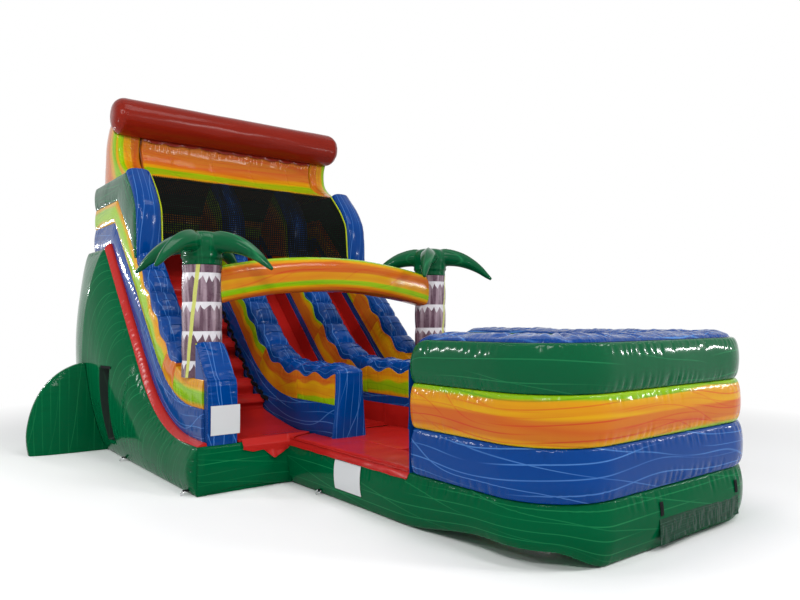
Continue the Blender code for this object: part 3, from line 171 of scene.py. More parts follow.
def puckers(along, away, seed, pitch=PUCKER_PITCH, depth=PUCKER_DEPTH, reach=PUCKER_REACH):
    """Depth of the short folds beside a seam, at a length along it and a distance away from it."""
    along, away = np.broadcast_arrays(along, np.abs(away))
    phase = along / pitch + 0.8 * noise(along / pitch * 0.7, seed)
    fold = (1 - np.abs(np.sin(math.pi * phase))) ** 2
    size = 0.6 + 0.4 * noise(along / pitch * 0.45, seed + 1)
    near = away / (reach * (0.6 + size))
    return depth * size * fold * near * np.exp((1 - near ** 2) / 2)


def puckers_both(along, across, width, seed, **folds):
    """Folds beside two seams that run a width apart."""
    return puckers(along, across, seed, **folds) + puckers(along, width - across, seed + 2, **folds)


def ripples(along, across, seed):
    """Slow waves of a stretched skin."""
    return RIPPLE_DEPTH * noise2(along / RIPPLE_PITCH, across / RIPPLE_PITCH * 1.7, seed)


def crease(away, depth, width):
    """Groove along a line."""
    return depth * np.exp(-(away / width) ** 2)


def lengths(points):
    """Length along a line at each of its points."""
    steps = np.linalg.norm(np.diff(points, axis=0), axis=1)
    return np.concatenate(([0.0], np.cumsum(steps)))


def spread(start, end, count):
    """Even points from start, short of end."""
    start, end = np.asarray(start, float), np.asarray(end, float)
    return start + (end - start) * (np.arange(count) / count)[:, None]


def smooth_line(points, count):
    """A smooth curve through the points, with count steps between two of them."""
    points = np.asarray(points, float)
    padded = np.concatenate((2 * points[:1] - points[1:2], points, 2 * points[-1:] - points[-2:-1]))
    t = (np.arange(count) / count)[:, None]
    parts = []
    for i in range(len(points) - 1):
        a, b, c, d = padded[i:i + 4]
        parts.append(0.5 * (2 * b + (c - a) * t + (2 * a - 5 * b + 4 * c - d) * t ** 2
                            + (3 * b - a - 3 * c + d) * t ** 3))
    return np.concatenate(parts + [points[-1:]])


def dense(points, step=0.02):
    """The line with points about one step apart."""
    points = np.asarray(points, float)
    parts = [spread(near, far, max(1, round(np.linalg.norm(far - near) / step)))
             for near, far in zip(points, points[1:])]
    return np.concatenate(parts + [points[-1:]])


def resampled(line, count):
    """The line with evenly spaced points."""
    length = lengths(line)
    goal = np.linspace(0, length[-1], count)
    return np.stack([np.interp(goal, length, line[:, k]) for k in range(line.shape[1])], axis=1)


def line_ups(line):
    """The direction square to a (y, z) line at each of its points."""
    along = np.gradient(line, axis=0)
    along /= np.linalg.norm(along, axis=1)[:, None]
    return np.stack((-along[:, 1], along[:, 0]), axis=1)


def flat_steps(start_y):
    return max(4, round((BED_FLAT - start_y) / STEP))


def foot_index(start_y):
    """Index of the tower's foot in a bed line."""
    return flat_steps(start_y) + ARC_STEPS + SLOPE_STEPS


def bed_line(height, start_y, deck=True):
    """Fine (y, z) points at one height square to the bed, from the front to the tower."""
    up = SLOPE_UP * height
    turns = BED_ANGLE * np.arange(ARC_STEPS) / ARC_STEPS
    arc = ARC_CENTRE + (BED_RADIUS - height) * stacked(np.sin(turns), -np.cos(turns))
    corner = DECK_EDGE + DECK_CORNER_UP * height
    parts = [spread((start_y, BED_Z + height), (BED_FLAT, BED_Z + height), flat_steps(start_y)), arc,
             spread(ARC_END + up, TOWER_FOOT + up, SLOPE_STEPS), spread(TOWER_FOOT + up, corner, TOWER_STEPS)]
    if not deck:
        return np.concatenate(parts + [corner[None]])
    rear = np.array((SLIDE_DEPTH, DECK_Z + height))
    return np.concatenate(parts + [spread(corner, rear, DECK_STEPS), rear[None]])


def wavy_top(start_y, wave_y):
    """The marbled band's upper edge up to the tower, and each point's share of a full puff."""
    line = bed_line(MARBLE_TOP, start_y)[:foot_index(start_y) + 1]
    length = lengths(line)
    length = length - length[np.argmax(line[:, 0] >= wave_y)]
    swell = np.where(length < 0, 0.0, np.abs(np.sin(math.pi * length / PUFF_PITCH)))
    fade = np.clip((length[-1] - length) / 0.08, 0, 1) * (length >= 0)
    wave = PUFF_WAVE * (1 - 2 * swell ** 2) * fade
    return line + line_ups(line) * wave[:, None], swell, length


def tower_outline(start, sink):
    """Front edge of a tower wall, from the marbled band to the top."""
    rise = np.array((TOWER_TOP_Y, WALL_TOP_Z)) - start
    line = smooth_line(start + rise * np.array(OUTLINE_SHARES), TOWER_STEPS // (len(OUTLINE_SHARES) - 1))
    fade = np.clip(lengths(line) / 0.2, 0, 1)
    return line - line_ups(line) * (sink * fade)[:, None]


def ring_faces(rows, columns, start=0, looped=False):
    """Faces over rows of points that each close in a ring, capped at both ends unless the rows are looped."""
    index = np.arange(rows * columns).reshape(rows, columns) + start
    caps = [] if looped else [index[0][::-1].tolist(), index[-1].tolist()]
    if looped:
        index = np.concatenate((index, index[:1]))
    ahead = np.roll(index, -1, axis=1)
    return np.stack((index[:-1], ahead[:-1], ahead[1:], index[1:]), axis=-1).reshape(-1, 4).tolist() + caps


def joined(name, grids):
    """One mesh of several closed grids, not united."""
    faces, start = [], 0
    for grid in grids:
        faces += ring_faces(*grid.shape[:2], start)
        start += grid.shape[0] * grid.shape[1]
    mesh = bpy.data.meshes.new(name)
    mesh.from_pydata(np.concatenate([grid.reshape(-1, 3) for grid in grids]).tolist(), [], faces)
    return mesh


def store(mesh, flow, seam=0.0):
    """Keeps the print's direction and the closeness of a seam on the mesh's points, for the materials."""
    lane = mesh.attributes.new("flow", "FLOAT_VECTOR", "POINT")
    lane.data.foreach_set("vector", np.array(flow, np.float32).ravel())
    near = mesh.attributes.new("seam", "FLOAT", "POINT")
    near.data.foreach_set("value", np.array(np.broadcast_to(seam, flow.shape[:-1]), np.float32).ravel())


def make_piece(name, mesh, material, nodes=(), slot=None, body="slide", fill=1.0):
    """Puts a mesh in the frame, riding on its body; fill, how tight a chamber is or None for what holds no air, is not
    used.
    """
    thing = bpy.data.objects.new(name, mesh)
    bpy.context.scene.collection.objects.link(thing)
    thing.location = (0, FRONT_Y, 0)
    mesh.materials.append(material)
    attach(thing, body)
    if nodes:
        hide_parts(*nodes)
    return thing


def add_piece(name, grid, flow, material, nodes=(), seam=0.0, looped=False, **settings):
    """A piece from rows of points, each row a closed ring."""
    mesh = bpy.data.meshes.new(name)
    rows, columns = grid.shape[:2]
    mesh.from_pydata(grid.reshape(-1, 3).tolist(), [], ring_faces(rows, columns, looped=looped))
    store(mesh, np.broadcast_to(flow, grid.shape), seam)
    shape = bmesh.new()
    shape.from_mesh(mesh)
    bmesh.ops.recalc_face_normals(shape, faces=shape.faces)
    shape.to_mesh(mesh)
    shape.free()
    mesh.shade_smooth()
    mesh.set_sharp_from_angle(angle=math.radians(62))
    return make_piece(name, mesh, material, nodes, **settings)


def add_sheet(name, front, back, axes, material, nodes=(), seam=0.0, **settings):
    """A thin piece with a front and a back; axes are the two that the print runs along and across."""
    grid = joined_rows(front, back[:, ::-1])
    flow = np.zeros(grid.shape)
    flow[:, :, :2] = grid[:, :, axes]
    return add_piece(name, grid, flow, material, nodes, seam, **settings)


def seam_share(away):
    """One at a seam, fading to nothing some way off."""
    return np.exp(-np.abs(away) / SEAM_FADE)


# Materials
class Value:
    """A value in a material; arithmetic on it adds math nodes."""

    def __init__(self, tree, socket):
        self.tree, self.socket = tree, socket

    def maths(self, operation, first, second=0.0):
        return add_value(self.tree, "ShaderNodeMath", {0: first, 1: second}, operation=operation)

    def __add__(self, other):
        return self.maths("ADD", self, other)

    def __sub__(self, other):
        return self.maths("SUBTRACT", self, other)

    def __rsub__(self, other):
        return self.maths("SUBTRACT", other, self)

    def __mul__(self, other):
        return self.maths("MULTIPLY", self, other)

    def __truediv__(self, other):
        return self.maths("DIVIDE", self, other)

    def __lt__(self, other):
        return self.maths("LESS_THAN", self, other)

    def __abs__(self):
        return self.maths("ABSOLUTE", self)

    def floor(self):
        return self.maths("FLOOR", self)

    def fract(self):
        return self.maths("FRACT", self)

    def larger(self, other):
        return self.maths("MAXIMUM", self, other)

    def clamped(self):
        """The same value, held between 0 and 1 by the node that makes it."""
        self.socket.node.use_clamp = True
        return self


def plug(socket, value):
    """Links a value into a socket, or sets a plain one on it."""
    if isinstance(value, Value):
        value.tree.links.new(value.socket, socket)
    else:
        socket.default_value = value


def add_node(tree, kind, inputs=None, **settings):
    made = tree.nodes.new(kind)
    for key, value in settings.items():
        setattr(made, key, value)
    for key, value in (inputs or {}).items():
        plug(made.inputs[key], value)
    return made


def add_value(tree, kind, inputs=None, output=0, **settings):
    return Value(tree, add_node(tree, kind, inputs, **settings).outputs[output])


def new_material(name):
    material = bpy.data.materials.new(name)
    material.use_nodes = True
    return material, material.node_tree, material.node_tree.nodes["Principled BSDF"].inputs


def flow_parts(tree):
    lane = add_value(tree, "ShaderNodeAttribute", output="Vector", attribute_name="flow")
    parts = add_node(tree, "ShaderNodeSeparateXYZ", {0: lane})
    return [Value(tree, output) for output in parts.outputs]


def flow_noise(along, across, scales, seed, detail=1.0):
    """Noise stretched along the print's direction."""
    place = add_value(along.tree, "ShaderNodeCombineXYZ", {0: along * scales[0], 1: across * scales[1], 2: seed})
    return add_value(along.tree, "ShaderNodeTexNoise", {"Vector": place, "Scale": 1.0, "Detail": detail}, "Fac")


def streaks(along, across, pitch, thickness, wander, seed, skew=0.0):
    """Thin lines about a pitch apart, which wander and break off."""
    drift = flow_noise(along, across, (0.55, 1.1), seed) * wander
    place = (across + along * skew + drift) / pitch
    line = (1.0 - abs(place.fract() - 0.5) * (pitch / thickness)).clamped()
    shown = ((flow_noise(along, place.floor(), (0.9, 3.7), seed + 1.0) - 0.36) * 5.0).clamped()
    return line * shown


def mixed(factor, first, second):
    """A blend of two colours, each a value or three plain parts."""
    colours = {6: first, 7: second}
    for key, colour in colours.items():
        if not isinstance(colour, Value):
            colours[key] = (*colour, 1.0)
    return add_value(factor.tree, "ShaderNodeMix", {0: factor, **colours}, 2, data_type="RGBA")


def color_ramp(place, stops):
    made = add_node(place.tree, "ShaderNodeValToRGB", {0: place})
    ramp = made.color_ramp
    for element, (at, colour) in zip(ramp.elements, (stops[0], stops[-1])):
        element.position = at
        element.color = (*colour, 1)
    for at, colour in stops[1:-1]:
        ramp.elements.new(at).color = (*colour, 1)
    return Value(place.tree, made.outputs["Color"])


def add_bump(inputs, height, strength, distance):
    bump = add_value(height.tree, "ShaderNodeBump", {"Height": height, "Strength": strength, "Distance": distance})
    plug(inputs["Normal"], bump)


def vinyl(name, base, streak, seed, strength=0.6, thickness=0.006, pitch=0.095, wander=0.35, printed=False,
          rough=0.09, crinkle=1.0, gloss=0.12):
    """Glossy coated vinyl with fine streaks along its length; a printed one shows the roll's bands of colour."""
    material, tree, inputs = new_material(name)
    along, across, share = flow_parts(tree)
    if printed:
        wobble = flow_noise(along, share, (0.8, 1.5), seed + 40.0)
        place = (share + (wobble - 0.5) * 0.20).fract()
        vein = (1.0 - abs(flow_noise(along, across, (0.4, 4.5), seed + 77.0) - 0.5) / 0.06).clamped()
        streak = color_ramp(place, PRINT_STREAK_STOPS)
        colour = mixed(vein * 0.35, color_ramp(place, PRINT_STOPS), streak)
    else:
        cloud = flow_noise(along, across, (0.7, 3.0), seed + 20.0, detail=2.0)
        colour = mixed(cloud, [0.85 * part for part in base], [min(1.0, 1.15 * part) for part in base])
    fine = streaks(along, across, pitch, thickness, wander, seed)
    cross = streaks(along, across, pitch * 2.3, thickness, wander * 1.6, seed + 9.0, 0.18)
    plug(inputs["Base Color"], mixed(fine.larger(cross * 0.8) * strength, colour, streak))
    plug(inputs["Roughness"], flow_noise(along, across, (9.0, 9.0), seed + 3.0, detail=3.0) * 0.06 + rough)
    inputs["Specular IOR Level"].default_value = gloss
    near = add_value(tree, "ShaderNodeAttribute", output="Fac", attribute_name="seam")
    short = flow_noise(along, across, (38.0, 9.0), seed + 5.0, detail=2.0)
    slow = flow_noise(along, across, (4.0, 4.0), seed + 6.0, detail=2.0)
    add_bump(inputs, short * (near * near) * (1.5 * crinkle) + slow * 0.6, 0.6, 0.012)
    return material


YELLOW = (0.62, 0.33, 0.005)
GOLD = (0.60, 0.25, 0.007)
ORANGE = (0.53, 0.145, 0.012)
LIME = (0.27, 0.47, 0.004)
RED_STREAK = (0.50, 0.022, 0.012)
ORANGE_STREAK = (0.56, 0.085, 0.010)
GREEN_STREAK = (0.075, 0.28, 0.005)
BLUE = (0.0, 0.042, 0.215)
BLUE_STREAK = (0.12, 0.34, 0.78)
GREEN = (0.0, 0.090, 0.031)
GREEN_LINE = (0.025, 0.30, 0.105)
RED = (0.42, 0.014, 0.011)
RED_SHADE = (0.34, 0.012, 0.010)
# Darker red that paints the shade on the top roll and its hem, which are the same red vinyl as the beds
SHADED_ROLL_RED = (0.205, 0.011, 0.004)
PRINT_STOPS = ((0.0, LIME), (0.14, LIME), (0.18, YELLOW), (0.30, GOLD), (0.46, YELLOW), (0.52, ORANGE),
               (0.84, ORANGE), (0.88, GOLD), (0.95, YELLOW), (1.0, LIME))
PRINT_STREAK_STOPS = ((0.0, GREEN_STREAK), (0.17, GREEN_STREAK), (0.22, ORANGE_STREAK), (0.45, ORANGE_STREAK),
                      (0.52, RED_STREAK), (0.86, RED_STREAK), (0.92, ORANGE_STREAK), (1.0, GREEN_STREAK))

BLUE_VINYL = vinyl("blue_vinyl", BLUE, BLUE_STREAK, 1.0)
CAP_VINYL = vinyl("crumpled_blue_vinyl", BLUE, BLUE_STREAK, 13.0, crinkle=2.0, rough=0.10)
PANEL_VINYL = vinyl("panel_vinyl", GREEN, GREEN_LINE, 3.0, pitch=0.10, wander=0.10, strength=0.5,
                    gloss=0.035)
RING_VINYL = vinyl("ring_vinyl", GREEN, GREEN_LINE, 14.0, pitch=0.16, strength=0.45)
WEDGE_VINYL = vinyl("wedge_vinyl", (0.0, 0.070, 0.026), GREEN_LINE, 8.0)
FROND_VINYL = vinyl("frond_vinyl", (0.0, 0.080, 0.027), GREEN_LINE, 15.0, pitch=0.12, wander=0.1,
                    strength=0.35, rough=0.10)
# Dark glossy port cover; its pale streaks are painted glints on its creases
PORT_VINYL_WITH_GLINTS = vinyl("port_vinyl_with_glints", (0.0, 0.034, 0.014), (0.10, 0.22, 0.16), 16.0, pitch=0.06,
                   thickness=0.003, wander=0.12, rough=0.05, crinkle=2.0)
# Near-black vinyl that paints the shade inside the left panel's pocket
POCKET_SHADE_VINYL = vinyl("pocket_shade_vinyl", (0.004, 0.012, 0.008), (0.01, 0.04, 0.02), 20.0, rough=0.35)
RED_VINYL = vinyl("red_vinyl", RED, RED_SHADE, 4.0, strength=0.25, pitch=0.3, rough=0.22)
RED_CLOTH = vinyl("red_cloth", RED, RED_SHADE, 17.0, strength=0.2, pitch=0.3, rough=0.34)
SHADED_ROLL_VINYL = vinyl("shaded_roll_vinyl", SHADED_ROLL_RED, (0.20, 0.008, 0.005), 5.0, strength=0.3, pitch=0.2,
                   rough=0.16)
LIME_VINYL = vinyl("lime_vinyl", (0.40, 0.48, 0.008), YELLOW, 18.0)
WHITE_VINYL = vinyl("white_vinyl", (0.60, 0.61, 0.62), (0.57, 0.58, 0.60), 19.0, rough=0.25)
WALL_MARBLE = vinyl("wall_marble", None, None, 6.0, printed=True, pitch=0.09)
DIVIDER_MARBLE = vinyl("divider_marble", None, None, 7.0, printed=True, strength=0.65, pitch=0.08)
MARBLE = vinyl("marble", None, None, 9.0, printed=True, strength=0.65, crinkle=1.4, pitch=0.07,
               wander=0.2)
MARBLE_LONG = vinyl("marble_long", None, None, 11.0, printed=True, strength=0.85, thickness=0.010,
                    pitch=0.07, wander=0.5)


def webbing(name, colour):
    """Woven polyester strap."""
    material, tree, inputs = new_material(name)
    place = add_value(tree, "ShaderNodeTexCoord", output="Object")
    ribs = add_value(tree, "ShaderNodeTexWave", {"Vector": place, "Scale": 90.0, "Distortion": 0.6}, "Fac")
    plug(inputs["Base Color"], mixed(ribs, [0.5 * part for part in colour], colour))
    inputs["Roughness"].default_value = 0.8
    inputs["Specular IOR Level"].default_value = 0.04
    add_bump(inputs, ribs, 0.5, 0.001)
    return material


BLACK_WEBBING = webbing("black_webbing", (0.016, 0.016, 0.018))
NET_CORD = webbing("net_cord", (0.006, 0.007, 0.006))
SLEEVE_CLOTH = webbing("sleeve_cloth", (0.022, 0.022, 0.025))

BARK_DARK = (0.105, 0.052, 0.078)
BARK_LIGHT = (0.33, 0.235, 0.28)
BARK_WHITE = (0.66, 0.64, 0.67)
BARK_LINE = (0.53, 0.55, 0.14)
BARK_TOP_Z = 2.21
BARK_PITCH = 0.305
BARK_BAND = 0.060
BARK_SPIKE = 0.085
BARK_SPIKES = 12.0
BARK_LINE_WIDTH = 0.021
BARK_LINE_LEAN = 0.11


def bark():
    """Printed trunk: purple bark under white bands with a jagged lower edge, and one pale line."""
    material, tree, inputs = new_material("bark")
    height, across, _ = flow_parts(tree)
    bands = (BARK_TOP_Z - height) / BARK_PITCH
    ring = bands.floor()
    saw = (across * BARK_SPIKES + flow_noise(ring, across, (3.7, 9.0), 5.0)).fract()
    tooth = 1.0 - abs(saw * 2.0 - 1.0)
    spike = tooth * (flow_noise(ring, across, (5.3, 6.0), 8.0) * 1.6) * BARK_SPIKE
    white = bands.fract() * BARK_PITCH < spike + (BARK_BAND - BARK_SPIKE * 0.35)
    patches = flow_noise(height, across, (1.2, 14.0), 3.0, detail=2.0)
    wood = color_ramp(patches, ((0.38, BARK_DARK), (0.46, BARK_DARK), (0.60, BARK_LIGHT), (0.70, BARK_LIGHT)))
    line = abs(across + (BARK_TOP_Z - height) * BARK_LINE_LEAN) < BARK_LINE_WIDTH
    plug(inputs["Base Color"], mixed(line, mixed(white, wood, BARK_WHITE), BARK_LINE))
    plug(inputs["Roughness"], flow_noise(height, across, (20.0, 20.0), 2.0) * 0.12 + 0.22)
    inputs["Specular IOR Level"].default_value = 0.35
    add_bump(inputs, patches, 0.3, 0.004)
    return material


BARK = bark()


# Walls and dividers
SIDES = ((-1, "left"), (1, "right"))
CREASE_DEPTH = 0.006
CREASE_WIDTH = 0.012
LEFT_WALL_PANELS = ((0.0, 0.943, 0.38), (0.83, 0.30, 0.45), (1.22, 0.955, 0.29))
RIGHT_WALL_PANELS = ((0.0, 0.943, 0.38), (1.0, 0.15, 0.35), (1.75, 0.45, 0.45), (2.4, 0.10, 0.60))
CLIMB_PANELS = ((0.0, 1.04, 0.62), (0.80, 1.20, 0.50), (1.75, 0.55, 0.60))
LANES_PANELS = ((0.0, 0.93, 0.42), (0.85, 1.0, 0.30), (1.35, 0.20, 0.55), (2.2, 0.50, 0.55))
EASE_POINTS = 24
INNER_BAND_BULGE = 0.006


def off_line(line, outs, reach):
    """The two coordinates of points that stand out from a line's own by their reach."""
    return line[:, :1] + outs[:, :1] * reach, line[:, 1:] + outs[:, 1:] * reach


def powered(values, power):
    """The values raised to a power, with their signs kept."""
    return np.sign(values) * np.abs(values) ** power


def roll_places(length, share, panels):
    """Place in the print's roll, for panels given by their start, the place at their foot and their rise."""
    place = np.zeros(np.broadcast_shapes(length.shape, share.shape))
    for start, foot, rise in panels:
        place = np.where(length >= start, foot + rise * share, place)
    return place


def build_band(name, lows, highs, left, right, bulges, material, node, seed, high_fold=1.0,
               panels=((0.0, 0.0, 1.0),)):
    """A coloured band of a wall: two swelling sides between a lower and an upper seam."""
    shares = 0.5 - 0.5 * np.cos(math.pi * np.arange(SIDE_POINTS) / (SIDE_POINTS - 1))
    span = highs - lows
    height = np.linalg.norm(span, axis=1)[:, None]
    length = lengths((lows + highs) / 2)[:, None]
    above, below = shares * height, (1 - shares) * height
    sides = []
    for side, edge, bulge, own in ((-1, left, bulges[0], seed), (1, right, bulges[1], seed + 7)):
        out = bulge * cushion(shares) * (1 + 0.15 * noise(length / 0.5, seed))
        out = out + ripples(length, above, own) * cushion(shares)
        out = out - puckers(length, above, own + 1) - high_fold * puckers(length, below, own + 3)
        for number, (start, _, _) in enumerate(panels[1:]):
            out = out - crease(length - start, CREASE_DEPTH, CREASE_WIDTH)
            out = out - puckers(above, length - start, own + 9 + number)
        sides.append(stacked(edge + side * out, *off_line(lows, span, shares)))
    both = np.concatenate((shares, shares[::-1]))
    flow = stacked(length, both * height, roll_places(length, both[None], panels))
    seam = seam_share(np.minimum(both, 1 - both) * height)
    add_piece(name, joined_rows(sides[0], sides[1][:, ::-1]), flow, material, (node,), seam)


def cap_section(feet, ups, heights, left, right, points=26):
    """Half-round sections of a puffed cap along a line."""
    turns = math.pi * np.arange(points) / (points - 1)
    across = powered(np.cos(turns), CAP_ROUNDNESS)
    rise = np.maximum(np.sin(turns), 0) ** CAP_ROUNDNESS
    x = ((left + right) / 2)[:, None] + ((right - left) / 2)[:, None] * across
    return stacked(x, *off_line(feet, ups, heights[:, None] * rise))


def outward(grid):
    """Directions square to an open grid, turned away from its middle."""
    normal = np.cross(np.gradient(grid, axis=0), np.gradient(grid, axis=1))
    normal = normal / np.maximum(np.linalg.norm(normal, axis=2, keepdims=True), 1e-9)
    middle = grid.mean(axis=1, keepdims=True)
    sign = np.sign(np.sum(normal * (grid - middle), axis=2, keepdims=True))
    centre = grid.shape[1] // 2
    return normal * sign[:, centre:centre + 1]


def build_cap(name, line, crowns, cross_seams, left, right, node, seed, front_y=None):
    """A puffed cap over a wall, also down its front end where front_y is given."""
    feet, ups, heights = line, line_ups(line), crowns
    flare = np.zeros(len(line))
    if front_y is not None:
        rise = np.linspace(0, 1, 44)[:-1]
        turns = math.pi - math.pi / 2 * np.linspace(0, 1, 10)[:-1]
        wall = stacked(front_y, BED_Z + (line[0, 1] - BED_Z) * rise)
        crown = FRONT_CROWN * np.interp(rise, (0, 0.3, 0.6, 0.85, 1), (0.55, 0.95, 1.1, 1.1, 1.0))
        feet = np.concatenate((wall, np.tile(line[0], (len(turns), 1)), line))
        ups = np.concatenate((np.tile((-1.0, 0.0), (len(wall), 1)), stacked(np.cos(turns), np.sin(turns)), ups))
        heights = np.concatenate((crown, np.full(len(turns), FRONT_CROWN), crowns))
        flare = np.concatenate((0.045 * np.clip(1 - rise / 0.85, 0, 1) ** 1.5, np.zeros(len(turns) + len(line))))
    grid = cap_section(feet, ups, heights, left - flare, right + flare)
    length = lengths(grid[:, grid.shape[1] // 2])[:, None]
    steps = np.linalg.norm(np.diff(grid, axis=1), axis=2)
    across = joined_rows(np.zeros((len(grid), 1)), np.cumsum(steps, axis=1))
    width = across[:, -1:]
    lead = len(feet) - len(line)
    away = np.full(len(grid), 1.0)
    away[lead:lead + len(cross_seams)] = cross_seams
    cell = np.cumsum(np.concatenate(([0.0], np.abs(np.diff(away)) > 0.05)))[:, None]
    away = away[:, None]
    depth = puckers_both(length, across, width, seed)
    depth = depth + puckers(across + 3.1 * cell, away, seed + 4, pitch=0.085, depth=0.012, reach=0.05)
    depth = depth - ripples(length, across, seed + 6)
    inner = np.sin(math.pi * np.clip(across / width, 0, 1)) ** 0.3
    grid = grid - outward(grid) * (depth * inner)[:, :, None]
    flow = stacked(length, across / width * 0.5, across / width)
    near = np.maximum(seam_share(np.minimum(across, width - across)), seam_share(away))
    add_piece(name, grid, flow, BLUE_VINYL, (node,), near)


def seam_distance(length):
    """Distance to the nearest seam across a puffed cap."""
    place = np.mod(length, PUFF_PITCH)
    return np.where(length < 0, 1.0, np.minimum(place, PUFF_PITCH - place))


def cap_crowns(swell, count, crown):
    """Height of a cap over its puffs, and then over the tower's edge with a soft step before it."""
    puffs = SEAM_CROWN + (PUFF_CROWN - SEAM_CROWN) * swell ** 0.62
    tower = np.full(count, crown)
    step = np.sin(math.pi / 2 * np.arange(EASE_POINTS) / EASE_POINTS) ** 0.8
    tower[:EASE_POINTS] = SEAM_CROWN + (crown - SEAM_CROWN) * step
    return np.concatenate((puffs, tower))


def build_outer_wall(side, label, seed):
    left, right = sorted((side * WALL_IN_X, side * WALL_OUT_X))
    bulges, flat, panels = (LANE_BULGE, OUTER_BULGE), (0.0, OUTER_BULGE), RIGHT_WALL_PANELS
    if side < 0:
        bulges, flat, panels = bulges[::-1], flat[::-1], LEFT_WALL_PANELS
    middles = bed_line(BLUE_TOP, OUTER_FRONT_Y)
    build_band("blue_band_" + label, bed_line(0.0, OUTER_FRONT_Y), middles, left, right, flat, BLUE_VINYL,
               "wall_blue_" + label, seed)
    tops, swell, length = wavy_top(OUTER_FRONT_Y, CAP_START_Y)
    above = bed_line(MARBLE_TOP, OUTER_FRONT_Y)[foot_index(OUTER_FRONT_Y) + 1:]
    build_band("marble_band_" + label, middles, np.concatenate((tops, above)), left, right, bulges, WALL_MARBLE,
               "wall_marble_" + label, seed + 20, panels=panels)
    outline = tower_outline(tops[-1], 0.0)
    corner, rear = (above[TOWER_STEPS - 1, 0], WALL_TOP_Z), (SLIDE_DEPTH, WALL_TOP_Z)
    roof = np.concatenate((spread((TOWER_TOP_Y, WALL_TOP_Z), corner, 24), spread(corner, rear, 64), [rear]))
    highs = np.concatenate((outline, roof[1:]))
    lows = resampled(np.concatenate((tops[-1:], above)), len(highs))
    build_band("green_wedge_" + label, lows, highs, left, right, bulges, WEDGE_VINYL, "wall_green_" + label,
               seed + 40, high_fold=0.6)
    first = int(np.argmax(length >= 0))
    line = np.concatenate((tops[first:], outline[1:]))
    crowns = cap_crowns(swell[first:], len(outline) - 1, TOWER_CROWN)
    build_cap("puffed_cap_" + label, line, crowns, seam_distance(length[first:]), left, right, "wall_cap_" + label,
              seed + 60)
    build_guard(label, left, right, seed + 80)


def build_divider(label, left, bulge, panels, seed):
    right = left + DIVIDER
    middles = bed_line(BLUE_TOP, DIVIDER_FRONT_Y, deck=False)
    build_band("blue_band_" + label, bed_line(0.0, DIVIDER_FRONT_Y, deck=False), middles, left, right,
               (bulge, INNER_BAND_BULGE), BLUE_VINYL, "divider_blue_" + label, seed)
    tops, swell, length = wavy_top(DIVIDER_FRONT_Y, DIVIDER_FRONT_Y)
    outline = tower_outline(tops[-1], DIVIDER_SINK)
    highs = np.concatenate((tops, outline[1:]))
    build_band("marble_band_" + label, middles, highs, left, right, (LANE_BULGE, LANE_BULGE), DIVIDER_MARBLE,
               "divider_marble_" + label, seed + 20, panels=panels)
    crowns = cap_crowns(swell, len(outline) - 1, DIVIDER_TOWER_CROWN)
    crowns = np.maximum(crowns, FRONT_CROWN * np.clip(1 - lengths(highs) / 0.15, 0, 1))
    build_cap("puffed_cap_" + label, highs, crowns, seam_distance(length), left, right, "divider_cap_" + label,
              seed + 40, DIVIDER_FRONT_Y)


GUARD_SEAT_Z = BED_Z + MARBLE_TOP
GUARD_REAR_Y = 0.315
GUARD_TOP_Z = 1.49
GUARD_SLOPE_SHARES = ((0.0, 0.0), (0.18, 0.12), (0.40, 0.38), (0.70, 0.74), (1.0, 1.0))


def build_guard(label, left, right, seed):
    """Blue block over a wall's front end, which slopes back before the palm trunk."""
    rise = np.linspace(0, 1, 56)
    face = stacked(-0.03 * np.sin(math.pi * (0.15 + 0.7 * rise)), BED_Z + MARBLE_TOP * rise)
    face[:, 0] *= np.clip((1 - rise) / 0.08, 0.25, 1)
    tall = GUARD_TOP_Z - GUARD_SEAT_Z
    slope = smooth_line([(GUARD_REAR_Y * run, GUARD_SEAT_Z + tall * up) for run, up in GUARD_SLOPE_SHARES], 12)
    front = np.concatenate((face, slope[1:]))
    length = lengths(front)
    y, z = front.T
    x = np.linspace(left, right, 40)[:, None]
    share = (x - (left + right) / 2) / ((right - left) / 2)
    shrink = 0.07 * np.abs(share) ** 5
    away = np.minimum(x - left, right - x)
    fold = puckers(length, away, seed, depth=0.012)
    fold = fold + puckers(x, length - length[len(face) - 1], seed + 2, depth=0.008)
    outer = stacked(x, y + (np.maximum(OUTER_FRONT_Y, y) - y) * shrink + fold,
                    z + (np.minimum(z, GUARD_SEAT_Z) - z) * shrink)
    back = stacked(x, (GUARD_REAR_Y, OUTER_FRONT_Y, OUTER_FRONT_Y), (GUARD_SEAT_Z, GUARD_SEAT_Z, BED_Z))
    along = np.concatenate((length, [length[-1] + 0.1] * 3))
    add_piece("front_guard_" + label, joined_rows(outer, back), stacked(along, x - left, share), BLUE_VINYL,
              ("trunk_guard_" + label,), seam_share(away))


build_outer_wall(-1, "left", 100)
build_outer_wall(1, "right", 300)
build_divider("climb", DIVIDER_ONE_X, OUTER_BULGE, CLIMB_PANELS, 500)
build_divider("lanes", DIVIDER_TWO_X, INNER_BAND_BULGE, LANES_PANELS, 700)


def outline_outs(outline):
    """The outward direction at each point of a closed (y, z) outline."""
    along = np.roll(outline, -1, axis=0) - np.roll(outline, 1, axis=0)
    along /= np.maximum(np.linalg.norm(along, axis=1), 1e-9)[:, None]
    y, z = outline.T
    area = np.sum(y * np.roll(z, -1) - np.roll(y, -1) * z)
    return stacked(along[:, 1], -along[:, 0]) * np.sign(area)


